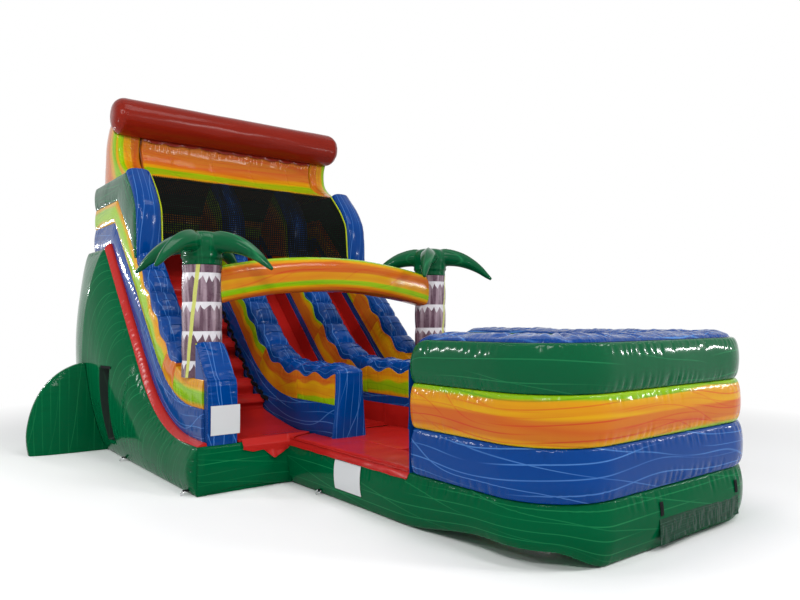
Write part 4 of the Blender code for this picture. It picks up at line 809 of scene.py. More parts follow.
def build_sweep(name, xs, outline, material, nodes, seed, swell=0.0, seams=(), cross=(), rounding=0.0,
                roll=None, fix=None, folds=1.0, **settings):
    """A closed (y, z) outline swept along x, whose points stand out by swell between the ends. Folds lie beside
    seams, places on the outline, and cross, places on x. Roll is each outline point's place in the print."""
    length = lengths(np.concatenate((outline, outline[:1])))
    around, whole = length[:-1], length[-1]
    x = xs[:, None]
    ends = np.minimum(x - xs[0], xs[-1] - x)
    full = rounded(ends / 0.06)
    push = swell * full - rounding * (1 - full) - folds * puckers(around, ends, seed)
    nearest = ends
    for number, seam in enumerate(seams):
        away = np.abs(around - around[seam])
        away = np.minimum(away, whole - away)
        push = push - folds * puckers(x, away, seed + 5 + 2 * number)
        nearest = np.minimum(nearest, away)
    for number, place in enumerate(cross):
        away = np.abs(x - place)
        push = push - folds * puckers(around, away, seed + 25 + 2 * number) - crease(away, 0.004, 0.012)
        nearest = np.minimum(nearest, away)
    push = push - ripples(x, around, seed + 50) * full
    y, z = outline.T
    out_y, out_z = outline_outs(outline).T
    grid = stacked(x, y + out_y * push, z + out_z * push)
    if fix:
        grid = fix(grid)
    flow = stacked(x, around, around / whole if roll is None else roll)
    add_piece(name, grid, flow, material, nodes, seam_share(nearest), **settings)


# Green body of the slide
BASE_FRONT_BULGE = 0.05
SIDE_BULGE = 0.28
SIDE_ROUNDNESS = 0.7
SIDE_REAR_SPAN = 1.05
SIDE_SEAM_Y = 1.95
SIDE_SEAM_DROP = 0.75
SLOT_FRONT_Y = 2.42
SLOT_WIDTH = 0.34
SLOT_BOTTOM_Z = 0.18
SLOT_TOP_Z = 1.12
SLOT_SINK = 0.018
TRIM_WIDTH = 0.0997
GAP = 0.004


def lifted(grid):
    """The front panel's points, with its lower edge arched up a little beside the pool."""
    run = np.clip(grid[:, :, 0] + HALF_WIDTH, 0, 1)
    low = np.clip(1 - grid[:, :, 2] / BED_Z, 0, 1)
    grid[:, :, 2] += 0.035 * np.sin(math.pi * run) * low
    return grid


def build_base():
    """Front panel, and the chamber under the bed behind it."""
    rise = np.linspace(0, 1, 30)
    outline = np.concatenate((stacked(-0.008, 0.006 + (BED_Z - 0.008) * rise),
                              [(-0.002, BED_Z - 0.002), (-0.002, 0.006)]))
    swell = np.concatenate(((BASE_FRONT_BULGE - 0.004) * cushion(rise, 0.6), (0, 0)))
    build_sweep("front_panel", np.linspace(-HALF_WIDTH, HALF_WIDTH, 260), outline, PANEL_VINYL, (), 900, swell,
                (0, len(rise) - 1), fix=lifted, folds=1.3)
    under = bed_line(0.0, GAP)[::6] - (0, GAP)
    block = np.concatenate((under, [(BASE_DEPTH, DECK_Z - GAP), (BASE_DEPTH, GAP), (GAP, GAP)]))
    build_sweep("base_chamber", np.linspace(GAP - WALL_OUT_X, WALL_OUT_X - GAP, 12), block, PANEL_VINYL,
                ("slide_base",), 905, folds=0.0)


def bed_height(y):
    """Height of the bed at a distance from the front."""
    past = np.clip(y, BED_FLAT, None) - BED_FLAT
    arc = BED_Z + BED_RADIUS - np.sqrt(np.maximum(BED_RADIUS ** 2 - past ** 2, 0.5))
    slope = ARC_END[1] + (y - ARC_END[0]) * math.tan(BED_ANGLE)
    return np.minimum(DECK_Z, np.where(y <= ARC_END[0], arc, slope))


def panel_reach(y, share):
    """How far a side panel stands out from the slide's half width, by y and its share of height from the top."""
    swell = SIDE_BULGE * (bed_height(y) / DECK_Z) ** 0.8
    past = np.clip((y - DECK_EDGE[0]) / SIDE_REAR_SPAN, 0, 1)
    return swell * np.sqrt(1 - past ** 2) * np.sin(math.pi * np.clip(share, 0, 1)) ** SIDE_ROUNDNESS


def pocket_sink(x, y, z):
    """How far the left panel is drawn in at a place, by the pocket in it."""
    inside = soft_step((y - SLOT_FRONT_Y) / 0.03) * soft_step((SLOT_FRONT_Y + SLOT_WIDTH - y) / 0.16)
    inside = inside * soft_step((z - SLOT_BOTTOM_Z) / 0.05) * soft_step((SLOT_TOP_Z - z) / 0.02)
    return (x - HALF_WIDTH + SLOT_SINK) * inside


def build_side_panel(side, label, seed):
    y = np.concatenate((np.linspace(0, 0.12, 14)[:-1], np.linspace(0.12, SLIDE_DEPTH, 260)))[:, None]
    share = np.concatenate((np.linspace(0, 0.06, 8)[:-1], np.linspace(0.06, 1, 74)))[None]
    top = bed_height(y) - 0.002
    down = top * share
    seam_away = np.abs(y - SIDE_SEAM_Y) + 10 * (down > SIDE_SEAM_DROP)
    push = -puckers(y, down, seed, depth=0.011) - puckers(down, y, seed + 2, depth=0.014)
    push = push - puckers(y, top - down, seed + 4, depth=0.006) - puckers(down, seam_away, seed + 6, depth=0.012)
    push = push + 0.009 * noise2(y / 0.5, down / 0.6, seed + 8) * np.sin(math.pi * share)
    x = HALF_WIDTH + panel_reach(y, share) * (0.2 + 0.8 * rounded(y / 0.14)) + push
    z = top * (1 - share)
    if side < 0:
        x = x - pocket_sink(x, y, z)

    def behind_edge(part):
        """The part, with two columns of zeros before it for the panel's inner edge."""
        return joined_rows(np.zeros((len(y), 2)), np.broadcast_to(part, down.shape))

    grid = joined_rows(stacked(side * (WALL_OUT_X + 0.001), y, top * (0, 1)), stacked(side * x, y, z))
    flow = stacked(behind_edge(down), behind_edge(y - 0.42 * (1 - np.exp(-down / 0.45))), 0.5)
    near = seam_share(np.minimum(np.minimum(down, y), seam_away))
    add_piece("green_panel_" + label, grid, flow, PANEL_VINYL, ("side_panel_" + label,), behind_edge(near))


def build_slot():
    """Near-black sheet in the pocket of the left panel, which paints the shade inside the recess, and the webbing over
    its top.
    """
    y = np.linspace(SLOT_FRONT_Y + 0.008, SLOT_FRONT_Y + SLOT_WIDTH - 0.02, 80)[:, None]
    z = np.linspace(SLOT_BOTTOM_Z + 0.02, SLOT_TOP_Z - 0.004, 90)[None]
    x = HALF_WIDTH + panel_reach(y, 1 - z / bed_height(y))
    x = x - pocket_sink(x, y, z) + 0.009 + 0.002 * noise2(y / 0.05, z / 0.2, 990)
    front = stacked(-x, y, z)
    add_sheet("pocket_shade_sheet", front, front + (0.006, 0, 0), (2, 1), POCKET_SHADE_VINYL, fill=None)
    top = SLOT_TOP_Z + 0.012
    ys = np.linspace(SLOT_FRONT_Y - 0.03, SLOT_FRONT_Y + SLOT_WIDTH - 0.08, 30)
    points = stacked(-HALF_WIDTH - panel_reach(ys, 1 - top / bed_height(ys)) - 0.008, ys, top)
    build_strip("pocket_webbing", points, (0, 0, 0.016), 0.004, BLACK_WEBBING)


def build_edge(side, label, seed):
    """Red edging laid over the side panel's top."""
    line = np.concatenate((spread((0.0, BED_Z), (BED_FLAT, BED_Z), 28),
                           bed_line(0.0, OUTER_FRONT_Y, deck=False)[flat_steps(OUTER_FRONT_Y):]))
    length = lengths(line)[:, None]
    height = 0.03 + 0.07 * np.clip(2 * length / length[-1], 0, 1)
    swell = OUTER_BULGE * np.clip(height / 0.115, 0, 1)
    share = np.linspace(0, 1, 14)[None]
    inner = HALF_WIDTH - TRIM_WIDTH
    crest = inner + swell + TRIM_WIDTH / 4
    x = HALF_WIDTH + (crest - HALF_WIDTH) * share + 0.012 * cushion(share)
    x = x - puckers_both(length, share * 0.1, 0.1, seed, depth=0.006)
    rim = joined_rows(np.full_like(height, inner), x, inner + swell)
    rise = joined_rows(np.full_like(height, 0.001), 0.001 + height * share, height)
    away = np.concatenate(([0.0], share[0] * 0.1, [0.1]))
    grid = stacked(side * rim, *off_line(line, line_ups(line), rise))
    add_piece("red_edge_" + label, grid, stacked(length, away, 0.5), RED_VINYL, ("bed_edge_" + label,),
              seam_share(away))


FIN_FRONT_Y = 3.16
FIN_THICKNESS = 0.34
FIN_REACH = 0.95
FIN_HEIGHT = 1.19
FIN_ROOT = 0.05
FIN_POWER = 2.5


def build_fin(side, label, seed):
    """Upright stabiliser, whose inner edge follows the side panel."""
    root, reach = HALF_WIDTH - FIN_ROOT, FIN_REACH + FIN_ROOT
    middle = FIN_FRONT_Y + FIN_THICKNESS / 2
    turn = np.linspace(0, 1, 46) * math.pi / 2 * 0.985
    heights = FIN_HEIGHT * np.sin(turn) ** (2 / FIN_POWER)
    tuck = 0.04 * np.clip(1 - heights / 0.35, 0, 1) ** 2
    outer = root + reach * np.cos(turn) ** (2 / FIN_POWER) - tuck
    inner = HALF_WIDTH + panel_reach(middle, 1 - heights / bed_height(middle)) + 0.004
    keep = outer > inner + 0.03
    heights, outer, inner = (part[keep][:, None] for part in (heights, outer, inner))
    x = inner + (outer - inner) * (1 - (1 - np.linspace(0, 1, 34)[None]) ** 1.6)
    radial = (np.clip((x - root) / reach, 0, 1) ** FIN_POWER + (heights / FIN_HEIGHT) ** FIN_POWER) ** (1 / FIN_POWER)
    rim_away = (1 - radial) * reach
    length = lengths(joined_rows(outer, heights))[:, None]
    half = FIN_THICKNESS / 2 * np.sqrt(np.clip(1 - 0.93 * radial ** 3.5, 0.05, 1))
    half = half - puckers(length, rim_away, seed, depth=0.020, reach=0.075, pitch=0.085)
    edge = np.linspace(0, math.pi, 9)[1:-1][None]
    rim = -np.cos(edge) * half[:, -1:]
    xs = joined_rows(x, outer + 0.012 * np.sin(edge), x[:, ::-1])
    offs = joined_rows(-half, rim, half[:, ::-1])
    near = seam_share(joined_rows(rim_away, np.zeros_like(rim), rim_away[:, ::-1]))
    grid = stacked(side * xs, middle + offs, heights + 0.002)
    add_piece("stabiliser_" + label, grid, stacked(heights + 0.002, xs, 0.5), PANEL_VINYL, ("fin_" + label,), near)


build_base()
build_side_panel(-1, "left", 920)
build_side_panel(1, "right", 940)
build_edge(-1, "left", 960)
build_edge(1, "right", 965)
build_fin(-1, "left", 970)
build_fin(1, "right", 975)


# Red beds of the lanes and the deck
STEP_HEIGHT = 0.11
STEP_PITCH = 0.36
STEP_COUNT = 7
STEP_START = 1.10
STEP_SHARES = ((0.0, 0.0), (0.10, 0.75), (0.28, 1.0), (0.55, 0.9), (0.78, 0.35))
BED_FLANGE = 0.25
FLANGE_THICKNESS = 0.015
BED_SEAM_PITCH = 0.62
LANE_GAP = 0.002
REAR_WALL_THICKNESS = 0.31


def bed_at(length):
    """Point of the bed at a length past the flat, and the direction square to it."""
    arc = BED_RADIUS * BED_ANGLE
    if length <= 0:
        return np.array((BED_FLAT + length, BED_Z)), np.array((0.0, 1.0))
    if length < arc:
        turn = length / BED_RADIUS
        up = np.array((-math.sin(turn), math.cos(turn)))
        return ARC_CENTRE - up * BED_RADIUS, up
    return ARC_END + SLOPE * (length - arc), SLOPE_UP


def lane_line(height):
    """The bed from the slide's front edge to the deck, at a height."""
    return bed_line(height, 0.004, deck=False)


def build_climb_bed(seed):
    places = [(STEP_START + STEP_PITCH * (tread + run) - BED_FLAT, STEP_HEIGHT * rise)
              for tread in range(STEP_COUNT) for run, rise in STEP_SHARES]
    places.append((np.linalg.norm(DECK_EDGE - ARC_END) + BED_RADIUS * BED_ANGLE, 0.0))
    highs = [(0.004, BED_Z + BED_THICKNESS), (BED_FLAT, BED_Z + BED_THICKNESS)]
    for place, rise in places:
        point, up = bed_at(place)
        highs.append(point + up * (BED_THICKNESS + rise))
    outline = np.concatenate((lane_line(0.002)[::5], smooth_line(highs, 9)[::-1]))
    xs = np.linspace(0.002 - WALL_IN_X + LANE_BULGE, DIVIDER_ONE_X - OUTER_BULGE - 0.002, 70)
    build_sweep("climbing_bed", xs, outline, RED_VINYL, ("climb_bed",), seed, rounding=0.006, folds=0.8)


def build_lane(label, left):
    """A sliding bed between two flanges that stand up along its sides."""
    line = lane_line(0.0)
    length = lengths(line)[:, None]
    low, high = left + LANE_GAP, left + LANE_WIDTH - LANE_GAP
    bed = np.linspace(low + FLANGE_THICKNESS, high - FLANGE_THICKNESS, 30)
    share = (bed - bed[0]) / (bed[-1] - bed[0])
    away = np.mod(length, BED_SEAM_PITCH)
    away = np.minimum(away, BED_SEAM_PITCH - away)
    top = BED_THICKNESS + 0.010 * cushion(share)[None] - crease(away, 0.006, 0.012)
    rise = np.linspace(BED_FLANGE, BED_THICKNESS + 0.02, 10)
    xs = np.concatenate(([low, high, high], np.full(10, bed[-1]), bed[::-1], np.full(10, bed[0]), [low]))
    parts = [np.array((LANE_GAP, LANE_GAP, BED_FLANGE)), rise, top[:, ::-1], rise[::-1], np.array((BED_FLANGE,))]
    heights = joined_rows(*(np.broadcast_to(part, (len(line), part.shape[-1])) for part in parts))
    grid = stacked(xs, *off_line(line, line_ups(line), heights))
    add_piece("sliding_bed_" + label, grid, stacked(length, xs + heights, 0.5), RED_VINYL, ("lane_bed_" + label,),
              seam_share(away))


def box_outline(low, high, step=0.03):
    """Points round a rectangle between two corners."""
    return dense([low, (high[0], low[1]), high, (low[0], high[1]), low], step)[:-1]


def build_deck(seed):
    low = (DECK_EDGE[0] + BED_THICKNESS + 0.002, DECK_Z + 0.002)
    high = (SLIDE_DEPTH - REAR_WALL_THICKNESS - 0.03, DECK_Z + BED_THICKNESS)
    reach = WALL_IN_X - FLANGE_THICKNESS - 0.004
    build_sweep("deck_floor", np.linspace(-reach, reach, 90), box_outline(low, high), BLUE_VINYL, ("deck_mat",), seed,
                rounding=0.004, folds=0.3)


build_climb_bed(980)
build_lane("left", LANE_ONE_X)
build_lane("right", LANE_TWO_X)
build_deck(995)


# Rear of the tower
REAR_PANEL_Y = 4.2603
REAR_BULGE = 0.10
REAR_FLAT = 0.03
REAR_COLUMNS = 4
REAR_WALL_BULGE = 0.025
SLEEVE_RADIUS = 0.16
SLEEVE_X = 0.95
SLEEVE_Z = 0.30


def rear_surface(x, z):
    """How far back the puffed rear panel reaches."""
    column = np.abs(np.sin(math.pi * (x + WALL_OUT_X) / (2 * WALL_OUT_X) * REAR_COLUMNS))
    share = np.clip(1 - z / DECK_Z, 0, 1)
    swell = REAR_FLAT + (REAR_BULGE - REAR_FLAT) * column ** 0.7
    return REAR_PANEL_Y + swell * np.sin(math.pi * share) ** 0.5


def build_rear_panel(seed):
    x = np.linspace(-WALL_OUT_X, WALL_OUT_X, 220)[:, None]
    z = np.linspace(0.004, DECK_Z - 0.004, 110)[None]
    pitch = 2 * WALL_OUT_X / REAR_COLUMNS
    place = np.mod(x + WALL_OUT_X, pitch)
    away = np.minimum(place, pitch - place)
    y = rear_surface(x, z) - puckers(z, away, seed, depth=0.013) - puckers(x, np.minimum(z, DECK_Z - z), seed + 2)
    front = stacked(x, y - ripples(x, z, seed + 4), z)
    back = stacked(x, BASE_DEPTH + 0.002, z[:, [0, -1]])
    add_sheet("rear_puffs", front, back, (2, 0), PANEL_VINYL, ("rear_panel",), seam_share(away))


def build_rear_wall(seed):
    bands = ((DECK_Z, DECK_Z + BLUE_TOP, BLUE_VINYL, "rear_blue_band", ()),
             (DECK_Z + BLUE_TOP, DECK_Z + MARBLE_TOP, WALL_MARBLE, "rear_marble_band", ("rear_wall",)),
             (DECK_Z + MARBLE_TOP, WALL_TOP_Z, WEDGE_VINYL, "rear_green_band", ()))
    reach = WALL_IN_X - LANE_BULGE - 0.002
    rise = np.linspace(0, 1, 24)
    both = np.concatenate((rise, rise[::-1]))
    depths = np.repeat((SLIDE_DEPTH - REAR_WALL_THICKNESS, SLIDE_DEPTH), 24)
    for number, (low, high, material, name, nodes) in enumerate(bands):
        outline = stacked(depths, low + 0.002 + (high - low - 0.004) * both)
        build_sweep(name, np.linspace(-reach, reach, 150), outline, material, nodes, seed + 60 * number,
                    REAR_WALL_BULGE * cushion(both), (0, 23, 24, 47), roll=both * 0.4 + 0.95)


def build_sleeve():
    """Open fabric tube for the blower, a little slack, with a strap round it."""
    turns = np.linspace(0, math.tau, 97)[:-1, None]
    share = np.linspace(0, 1, 40)[None]
    outs = SLEEVE_RADIUS - 0.006 + 0.005 * noise2(turns * 9 / math.tau * 2, share * 5, 31) * np.sin(math.pi * share)
    outs = outs - crease(share - 0.72, 0.012, 0.035)
    x, z = outs * np.cos(turns), outs * np.sin(turns)
    foot = rear_surface(SLEEVE_X + x, SLEEVE_Z + z) + 0.004
    y = foot + (REAR_REACH - 0.002 - foot) * share
    outer, inner = (stacked(SLEEVE_X + x * thin, y, SLEEVE_Z + z * thin) for thin in (1.0, (outs - 0.005) / outs))
    flow = stacked(turns * SLEEVE_RADIUS, joined_rows(share, share[:, ::-1]) * 0.5, 0.5)
    add_piece("blower_sleeve", joined_rows(outer, inner[:, ::-1]), flow, SLEEVE_CLOTH, ("air_sleeve",), looped=True,
              fill=None)
    rim = SLEEVE_RADIUS - 0.012 + np.array((0.0, 0.003, 0.003, 0.0))
    wide = REAR_PANEL_Y + 0.40 + np.array((-0.02, -0.02, 0.02, 0.02))
    strap = stacked(SLEEVE_X + rim * np.cos(turns), wide, SLEEVE_Z + rim * np.sin(turns))
    add_piece("sleeve_strap", strap, stacked(turns, 0.0, 0.5), BLACK_WEBBING, looped=True, fill=None)


build_rear_panel(1000)
build_rear_wall(1020)
build_sleeve()


# Header over the deck
ROLL_RADIUS = 0.255
ROLL_Y = 3.287
ROLL_Z = 4.536
ROLL_LENGTH = 3.56
ROLL_END = 0.16
HEADER_REAR_Y = 4.22
HEADER_OUT_X = WALL_OUT_X - 0.11
HEADER_IN_X = HEADER_OUT_X - 0.27
HEADER_OVERHANG = 0.085
HEADER_BACK_SHARES = ((1.0, 0.0), (0.985, 0.18), (0.955, 0.36), (0.90, 0.66), (0.76, 0.88), (0.58, 0.98), (0.42, 1.0))
HEADER_FRONT_SHARES = ((0.03, 0.0), (0.21, 0.09), (0.355, 0.22), (0.41, 0.42), (0.40, 0.62))
FASCIA_THICKNESS = 0.20
FASCIA_ROLL_SHARES = (0, 0.2, 0.48, 0.62, 1.0)
FASCIA_ROLL_PLACES = (1.24, 1.14, 1.0, 0.86, 0.60)
FASCIA_SEAMS = (-0.95, -0.32, 0.30, 0.93)
HOOD_THICKNESS = 0.14


def outside_roll(grid):
    """The points moved out of the top roll's cylinder."""
    off = grid[:, :, 1:] - (ROLL_Y, ROLL_Z)
    far = np.linalg.norm(off, axis=2, keepdims=True)
    grid[:, :, 1:] += off / np.maximum(far, 1e-6) * np.maximum(ROLL_RADIUS + 0.002 - far, 0)
    return grid


def header_line(shares, count):
    """A smooth (y, z) line of the header from its shares of depth and height."""
    depth = HEADER_REAR_Y - TOWER_TOP_Y
    height = ROLL_Z + ROLL_RADIUS / 2 - WALL_TOP_Z
    points = [(TOWER_TOP_Y + depth * run, WALL_TOP_Z + 0.002 + height * rise) for run, rise in shares]
    return resampled(smooth_line(points, 12), count)


def build_header_side(side, label, seed):
    """Upright cushion with a curved front; its slices run from front to back."""
    front, back = header_line(HEADER_FRONT_SHARES, 90), header_line(HEADER_BACK_SHARES, 90)
    width = np.linalg.norm(back - front, axis=1)[:, None]
    length = lengths((front + back) / 2)[:, None]
    deep = np.linspace(0, 1, 30)[None]
    half = (HEADER_OUT_X - HEADER_IN_X) / 2
    swell = cushion(deep, 0.22)
    fold = puckers_both(length, deep * width, width, seed) + puckers(deep * width, length, seed + 4)
    outer = swell * half - fold + HEADER_OVERHANG * swell
    inner = fold * 0.5 - swell * half
    out = side * joined_rows(outer, inner[:, ::-1])
    run = joined_rows(deep * width, (deep * width)[:, ::-1])
    middle = side * (HEADER_OUT_X + HEADER_IN_X) / 2
    grid = outside_roll(stacked(middle + out, *off_line(front, (back - front) / width, run)))
    share = run / width
    blend = soft_step((0.22 - share) / 0.06)
    place = (1.27 - 0.72 * share) * (1 - blend) + (1.55 - 0.42 * side * out / half) * blend
    add_piece("header_post_" + label, grid, stacked(length, run + out, place), MARBLE, ("header_side_" + label,),
              seam_share(np.minimum(share, 1 - share) * width), slot="orange_vinyl")


def build_header(seed):
    """Marbled fascia over the deck's front, and the hood behind it."""
    reach = HEADER_IN_X - 0.004
    xs = np.linspace(-reach, reach, 240)
    front = header_line(HEADER_FRONT_SHARES, 44)
    outline = np.concatenate((front, front[::-1] + (FASCIA_THICKNESS - 0.01, 0)))
    rise = np.linspace(0, 1, 44)
    place = np.interp(rise, FASCIA_ROLL_SHARES, FASCIA_ROLL_PLACES)
    build_sweep("fascia_panel", xs, outline, MARBLE, ("fascia",), seed,
                np.concatenate((0.016 * cushion(rise), np.zeros(44))), (0, 43), FASCIA_SEAMS,
                roll=np.concatenate((place, np.full(44, 0.7))), fix=outside_roll, folds=1.5)
    back = header_line(HEADER_BACK_SHARES, 60)
    inside = back + line_ups(back) * HOOD_THICKNESS
    rise = np.linspace(0, 1, 60)
    build_sweep("hood", xs, np.concatenate((back, inside[::-1])), MARBLE, ("header_back",), seed + 70,
                np.concatenate((0.02 * cushion(rise), np.zeros(60))), (0, 59), (-0.7, 0.0, 0.7),
                roll=0.55 + 0.3 * np.concatenate((rise, rise[::-1])), fix=outside_roll, slot="orange_vinyl")


def build_roll(seed):
    """Red roll along the header's top, gathered near its rounded ends, in a darker red that paints its shade."""
    x = np.linspace(-ROLL_LENGTH / 2, ROLL_LENGTH / 2, 260)[:, None]
    turns = np.linspace(0, math.tau, 73)[:-1]
    away = np.abs(np.abs(x) - (ROLL_LENGTH / 2 - 0.10))
    radius = ROLL_RADIUS - ROLL_END * (1 - rounded((ROLL_LENGTH / 2 - np.abs(x)) / ROLL_END))
    radius = radius - puckers(turns * ROLL_RADIUS, away, seed, depth=0.010, reach=0.05)
    radius = radius - 0.003 * (1 + noise2(x / 0.35, turns * 3, seed + 2))
    grid = stacked(x, ROLL_Y + radius * np.cos(turns), ROLL_Z + radius * np.sin(turns))
    add_piece("red_roll", grid, stacked(x, turns * ROLL_RADIUS, 0.5), SHADED_ROLL_VINYL, ("top_roll",), seam_share(away))


def build_roll_hem(seed):
    """Scalloped hem of the roll, over the top of the fascia, in the darker red that also paints the shadow under the
    roll.
    """
    front = header_line(HEADER_FRONT_SHARES, 44)
    reach = HEADER_IN_X - 0.01
    x = np.linspace(-reach, reach, 300)[:, None]
    share = np.linspace(0, 1, 14)[None]
    scallop = np.abs(np.sin(math.pi * x / 0.26))
    drop = 0.040 + 0.024 * scallop + 0.008 * noise2(x / 0.2, 0.0, seed)
    z = ROLL_Z - ROLL_RADIUS + 0.020 - drop * share
    y = np.interp(z, front[:, 1], front[:, 0]) - 0.030 - 0.012 * scallop * share
    sheet = stacked(x, y, z)
    across = joined_rows(share, share[:, ::-1])
    add_piece("roll_hem", joined_rows(sheet, (sheet + (0, 0.004, 0))[:, ::-1]), stacked(x, across * 0.1, 0.5),
              SHADED_ROLL_VINYL, fill=None)


build_header_side(-1, "left", 1200)
build_header_side(1, "right", 1220)
build_header(1240)
build_roll(1330)


# Safety net and piping
NET_PITCH = 0.030
NET_STRAND = 0.0155
NET_THICKNESS = 0.003
CORD_ASIDE = (0.31, 0.17, 0.93)


def build_net():
    """Knitted net stretched from wall to wall, over the dividers' caps."""
    line = tower_outline(wavy_top(DIVIDER_FRONT_Y, DIVIDER_FRONT_Y)[0][-1], DIVIDER_SINK)
    up = line_ups(line)
    up[0] = up[1]
    line = (line + up * (DIVIDER_TOWER_CROWN + 0.007))[5:]
    line = resampled(line, round(lengths(line)[-1] / 0.018))
    up = line_ups(line)
    length = lengths(line)
    reach = WALL_IN_X - LANE_BULGE - 0.004
    half = NET_THICKNESS / 2
    strands = []
    for x in np.arange(-reach, reach - NET_STRAND, NET_PITCH):
        corners = x + NET_STRAND * np.array((0, 1, 1, 0))
        strands.append(stacked(corners, *off_line(line, up, half * np.array((-1, -1, 1, 1)))))
    for place in np.arange(0.0, length[-1], NET_PITCH):
        point, out = (np.array([np.interp(place, length, part[:, k]) for k in (0, 1)]) for part in (line, up))
        run, thin = np.array((out[1], -out[0])) * NET_STRAND / 2, out * half * 0.9
        ring = np.array((point - run - thin, point + run - thin, point + run + thin, point - run + thin))
        strands.append(stacked(np.array((-reach, reach))[:, None], *ring.T))
    mesh = joined("net", strands)
    store(mesh, np.zeros((len(mesh.vertices), 3)))
    net = make_piece("net", mesh, NET_CORD, ("safety_net",), fill=None)
    width, height = 2 * reach, float(length[-1])
    width * height * min(1.0, 2 * NET_STRAND / NET_PITCH)


def build_cord(name, points, radius, material, sides=10):
    """A round piping along points."""
    along = np.gradient(points, axis=0)
    along /= np.linalg.norm(along, axis=1)[:, None]
    first = np.cross(along, CORD_ASIDE)
    first /= np.linalg.norm(first, axis=1)[:, None]
    second = np.cross(along, first)
    turns = np.linspace(0, math.tau, sides + 1)[:-1]
    across = first[:, None] * np.cos(turns)[:, None] + second[:, None] * np.sin(turns)[:, None]
    flow = stacked(lengths(points)[:, None], turns * radius, 0.5)
    add_piece(name, points[:, None] + radius * across, flow, material, fill=None)


for side, label in SIDES:
    rim = stacked(side * (WALL_OUT_X - 0.010), GUARD_REAR_Y + 0.004,
                  np.linspace(GUARD_SEAT_Z + 0.012, GUARD_TOP_Z - 0.012, 30))
    build_cord("guard_piping_" + label, rim, 0.008, LIME_VINYL)
for side, label in SIDES:
    rim = tower_outline(wavy_top(OUTER_FRONT_Y, CAP_START_Y)[0][-1], 0.0)
    rim = rim + line_ups(rim) * 0.012
    build_cord("net_piping_" + label, stacked(side * (WALL_IN_X - 0.012), *rim.T), 0.011, LIME_VINYL)
build_net()


# Palms and arch beam
CROWN_RADIUS = 0.22
CROWN_HEIGHT = 0.373
CROWN_SHARES = ((0.93, 0.0), (0.93, 0.17), (1.0, 0.21), (0.98, 0.36), (1.05, 0.57), (0.95, 0.78), (0.68, 0.94),
                (0.02, 1.0))
FROND_REACH = 0.80
FROND_RADIUS = 0.115
FROND_ROOT_Z = 2.50
FROND_DROP = 0.26
FROND_SHARES = ((0.0, -0.02, 1.0), (0.14, -0.06, 1.0), (0.28, -0.10, 1.0), (0.48, 0.0, 0.86), (0.66, 0.22, 0.68),
                (0.82, 0.52, 0.48), (0.93, 0.80, 0.32), (1.02, 1.02, 0.17))
LEFT_PALM_TURN = math.radians(37)
RIGHT_PALM_TURN = math.radians(45)
LINE_TURN = math.radians(-125.5)
BEAM_Z = 2.05
BEAM_RISE = 0.20
BEAM_HEIGHT = 0.41
BEAM_DEPTH = 0.30
BEAM_MEAN_RADIUS = 0.18
BEAM_SEAM_TURN = 2.2


def build_trunk(side, label, seed):
    z = np.linspace(GUARD_SEAT_Z + 0.002, TRUNK_TOP_Z - 0.001, 90)[:, None]
    turns = np.linspace(-math.pi, math.pi, 97)[:-1]
    below = np.mod(BARK_TOP_Z - z, BARK_PITCH) / BARK_PITCH
    radius = TRUNK_RADIUS - 0.006 + 0.008 * np.sin(math.pi * below) ** 0.7 + 0.002 * noise2(z / 0.1, turns * 3, seed)
    grid = stacked(side * TRUNK_X + radius * np.cos(turns), TRUNK_Y + radius * np.sin(turns), z)
    line = LINE_TURN if side < 0 else -math.pi - LINE_TURN
    off = np.mod(turns - line + math.pi, math.tau) - math.pi
    add_piece("bark_" + label, grid, stacked(z, off * TRUNK_RADIUS, 0.5), BARK, ("palm_trunk_" + label,))


def united(mesh, voxel, rounds):
    """The closed meshes as one skin, smoothed where they meet."""
    thing = bpy.data.objects.new("united", mesh)
    bpy.context.scene.collection.objects.link(thing)
    remesh = thing.modifiers.new("union", "REMESH")
    remesh.mode = "VOXEL"
    remesh.voxel_size = voxel
    smooth = thing.modifiers.new("smooth", "SMOOTH")
    smooth.iterations = rounds
    bpy.context.view_layer.update()
    graph = bpy.context.evaluated_depsgraph_get()
    result = bpy.data.meshes.new_from_object(thing.evaluated_get(graph))
    bpy.data.objects.remove(thing)
    bpy.data.meshes.remove(mesh)
    return result


def frond(angle):
    """One drooping frond, as rings round its middle line."""
    knots = smooth_line(FROND_SHARES, 8)
    reach, drop = np.maximum(FROND_REACH * knots[:, 0], 0.02), FROND_DROP * knots[:, 1]
    thick = FROND_RADIUS * knots[:, 2:]
    heading = np.gradient(stacked(reach, -drop), axis=0)
    heading /= np.linalg.norm(heading, axis=1)[:, None]
    ring = np.linspace(0, math.tau, 33)[:-1]
    aside = np.cos(ring) * thick
    above = (np.sin(ring) + 0.22 * np.exp(-((ring - math.pi / 2) / 0.30) ** 2)) * thick * 0.92
    out = reach[:, None] - heading[:, 1:] * above
    z = FROND_ROOT_Z - drop[:, None] + heading[:, :1] * above
    turn, level = math.sin(angle), math.cos(angle)
    return stacked(out * level - aside * turn, out * turn + aside * level, z)


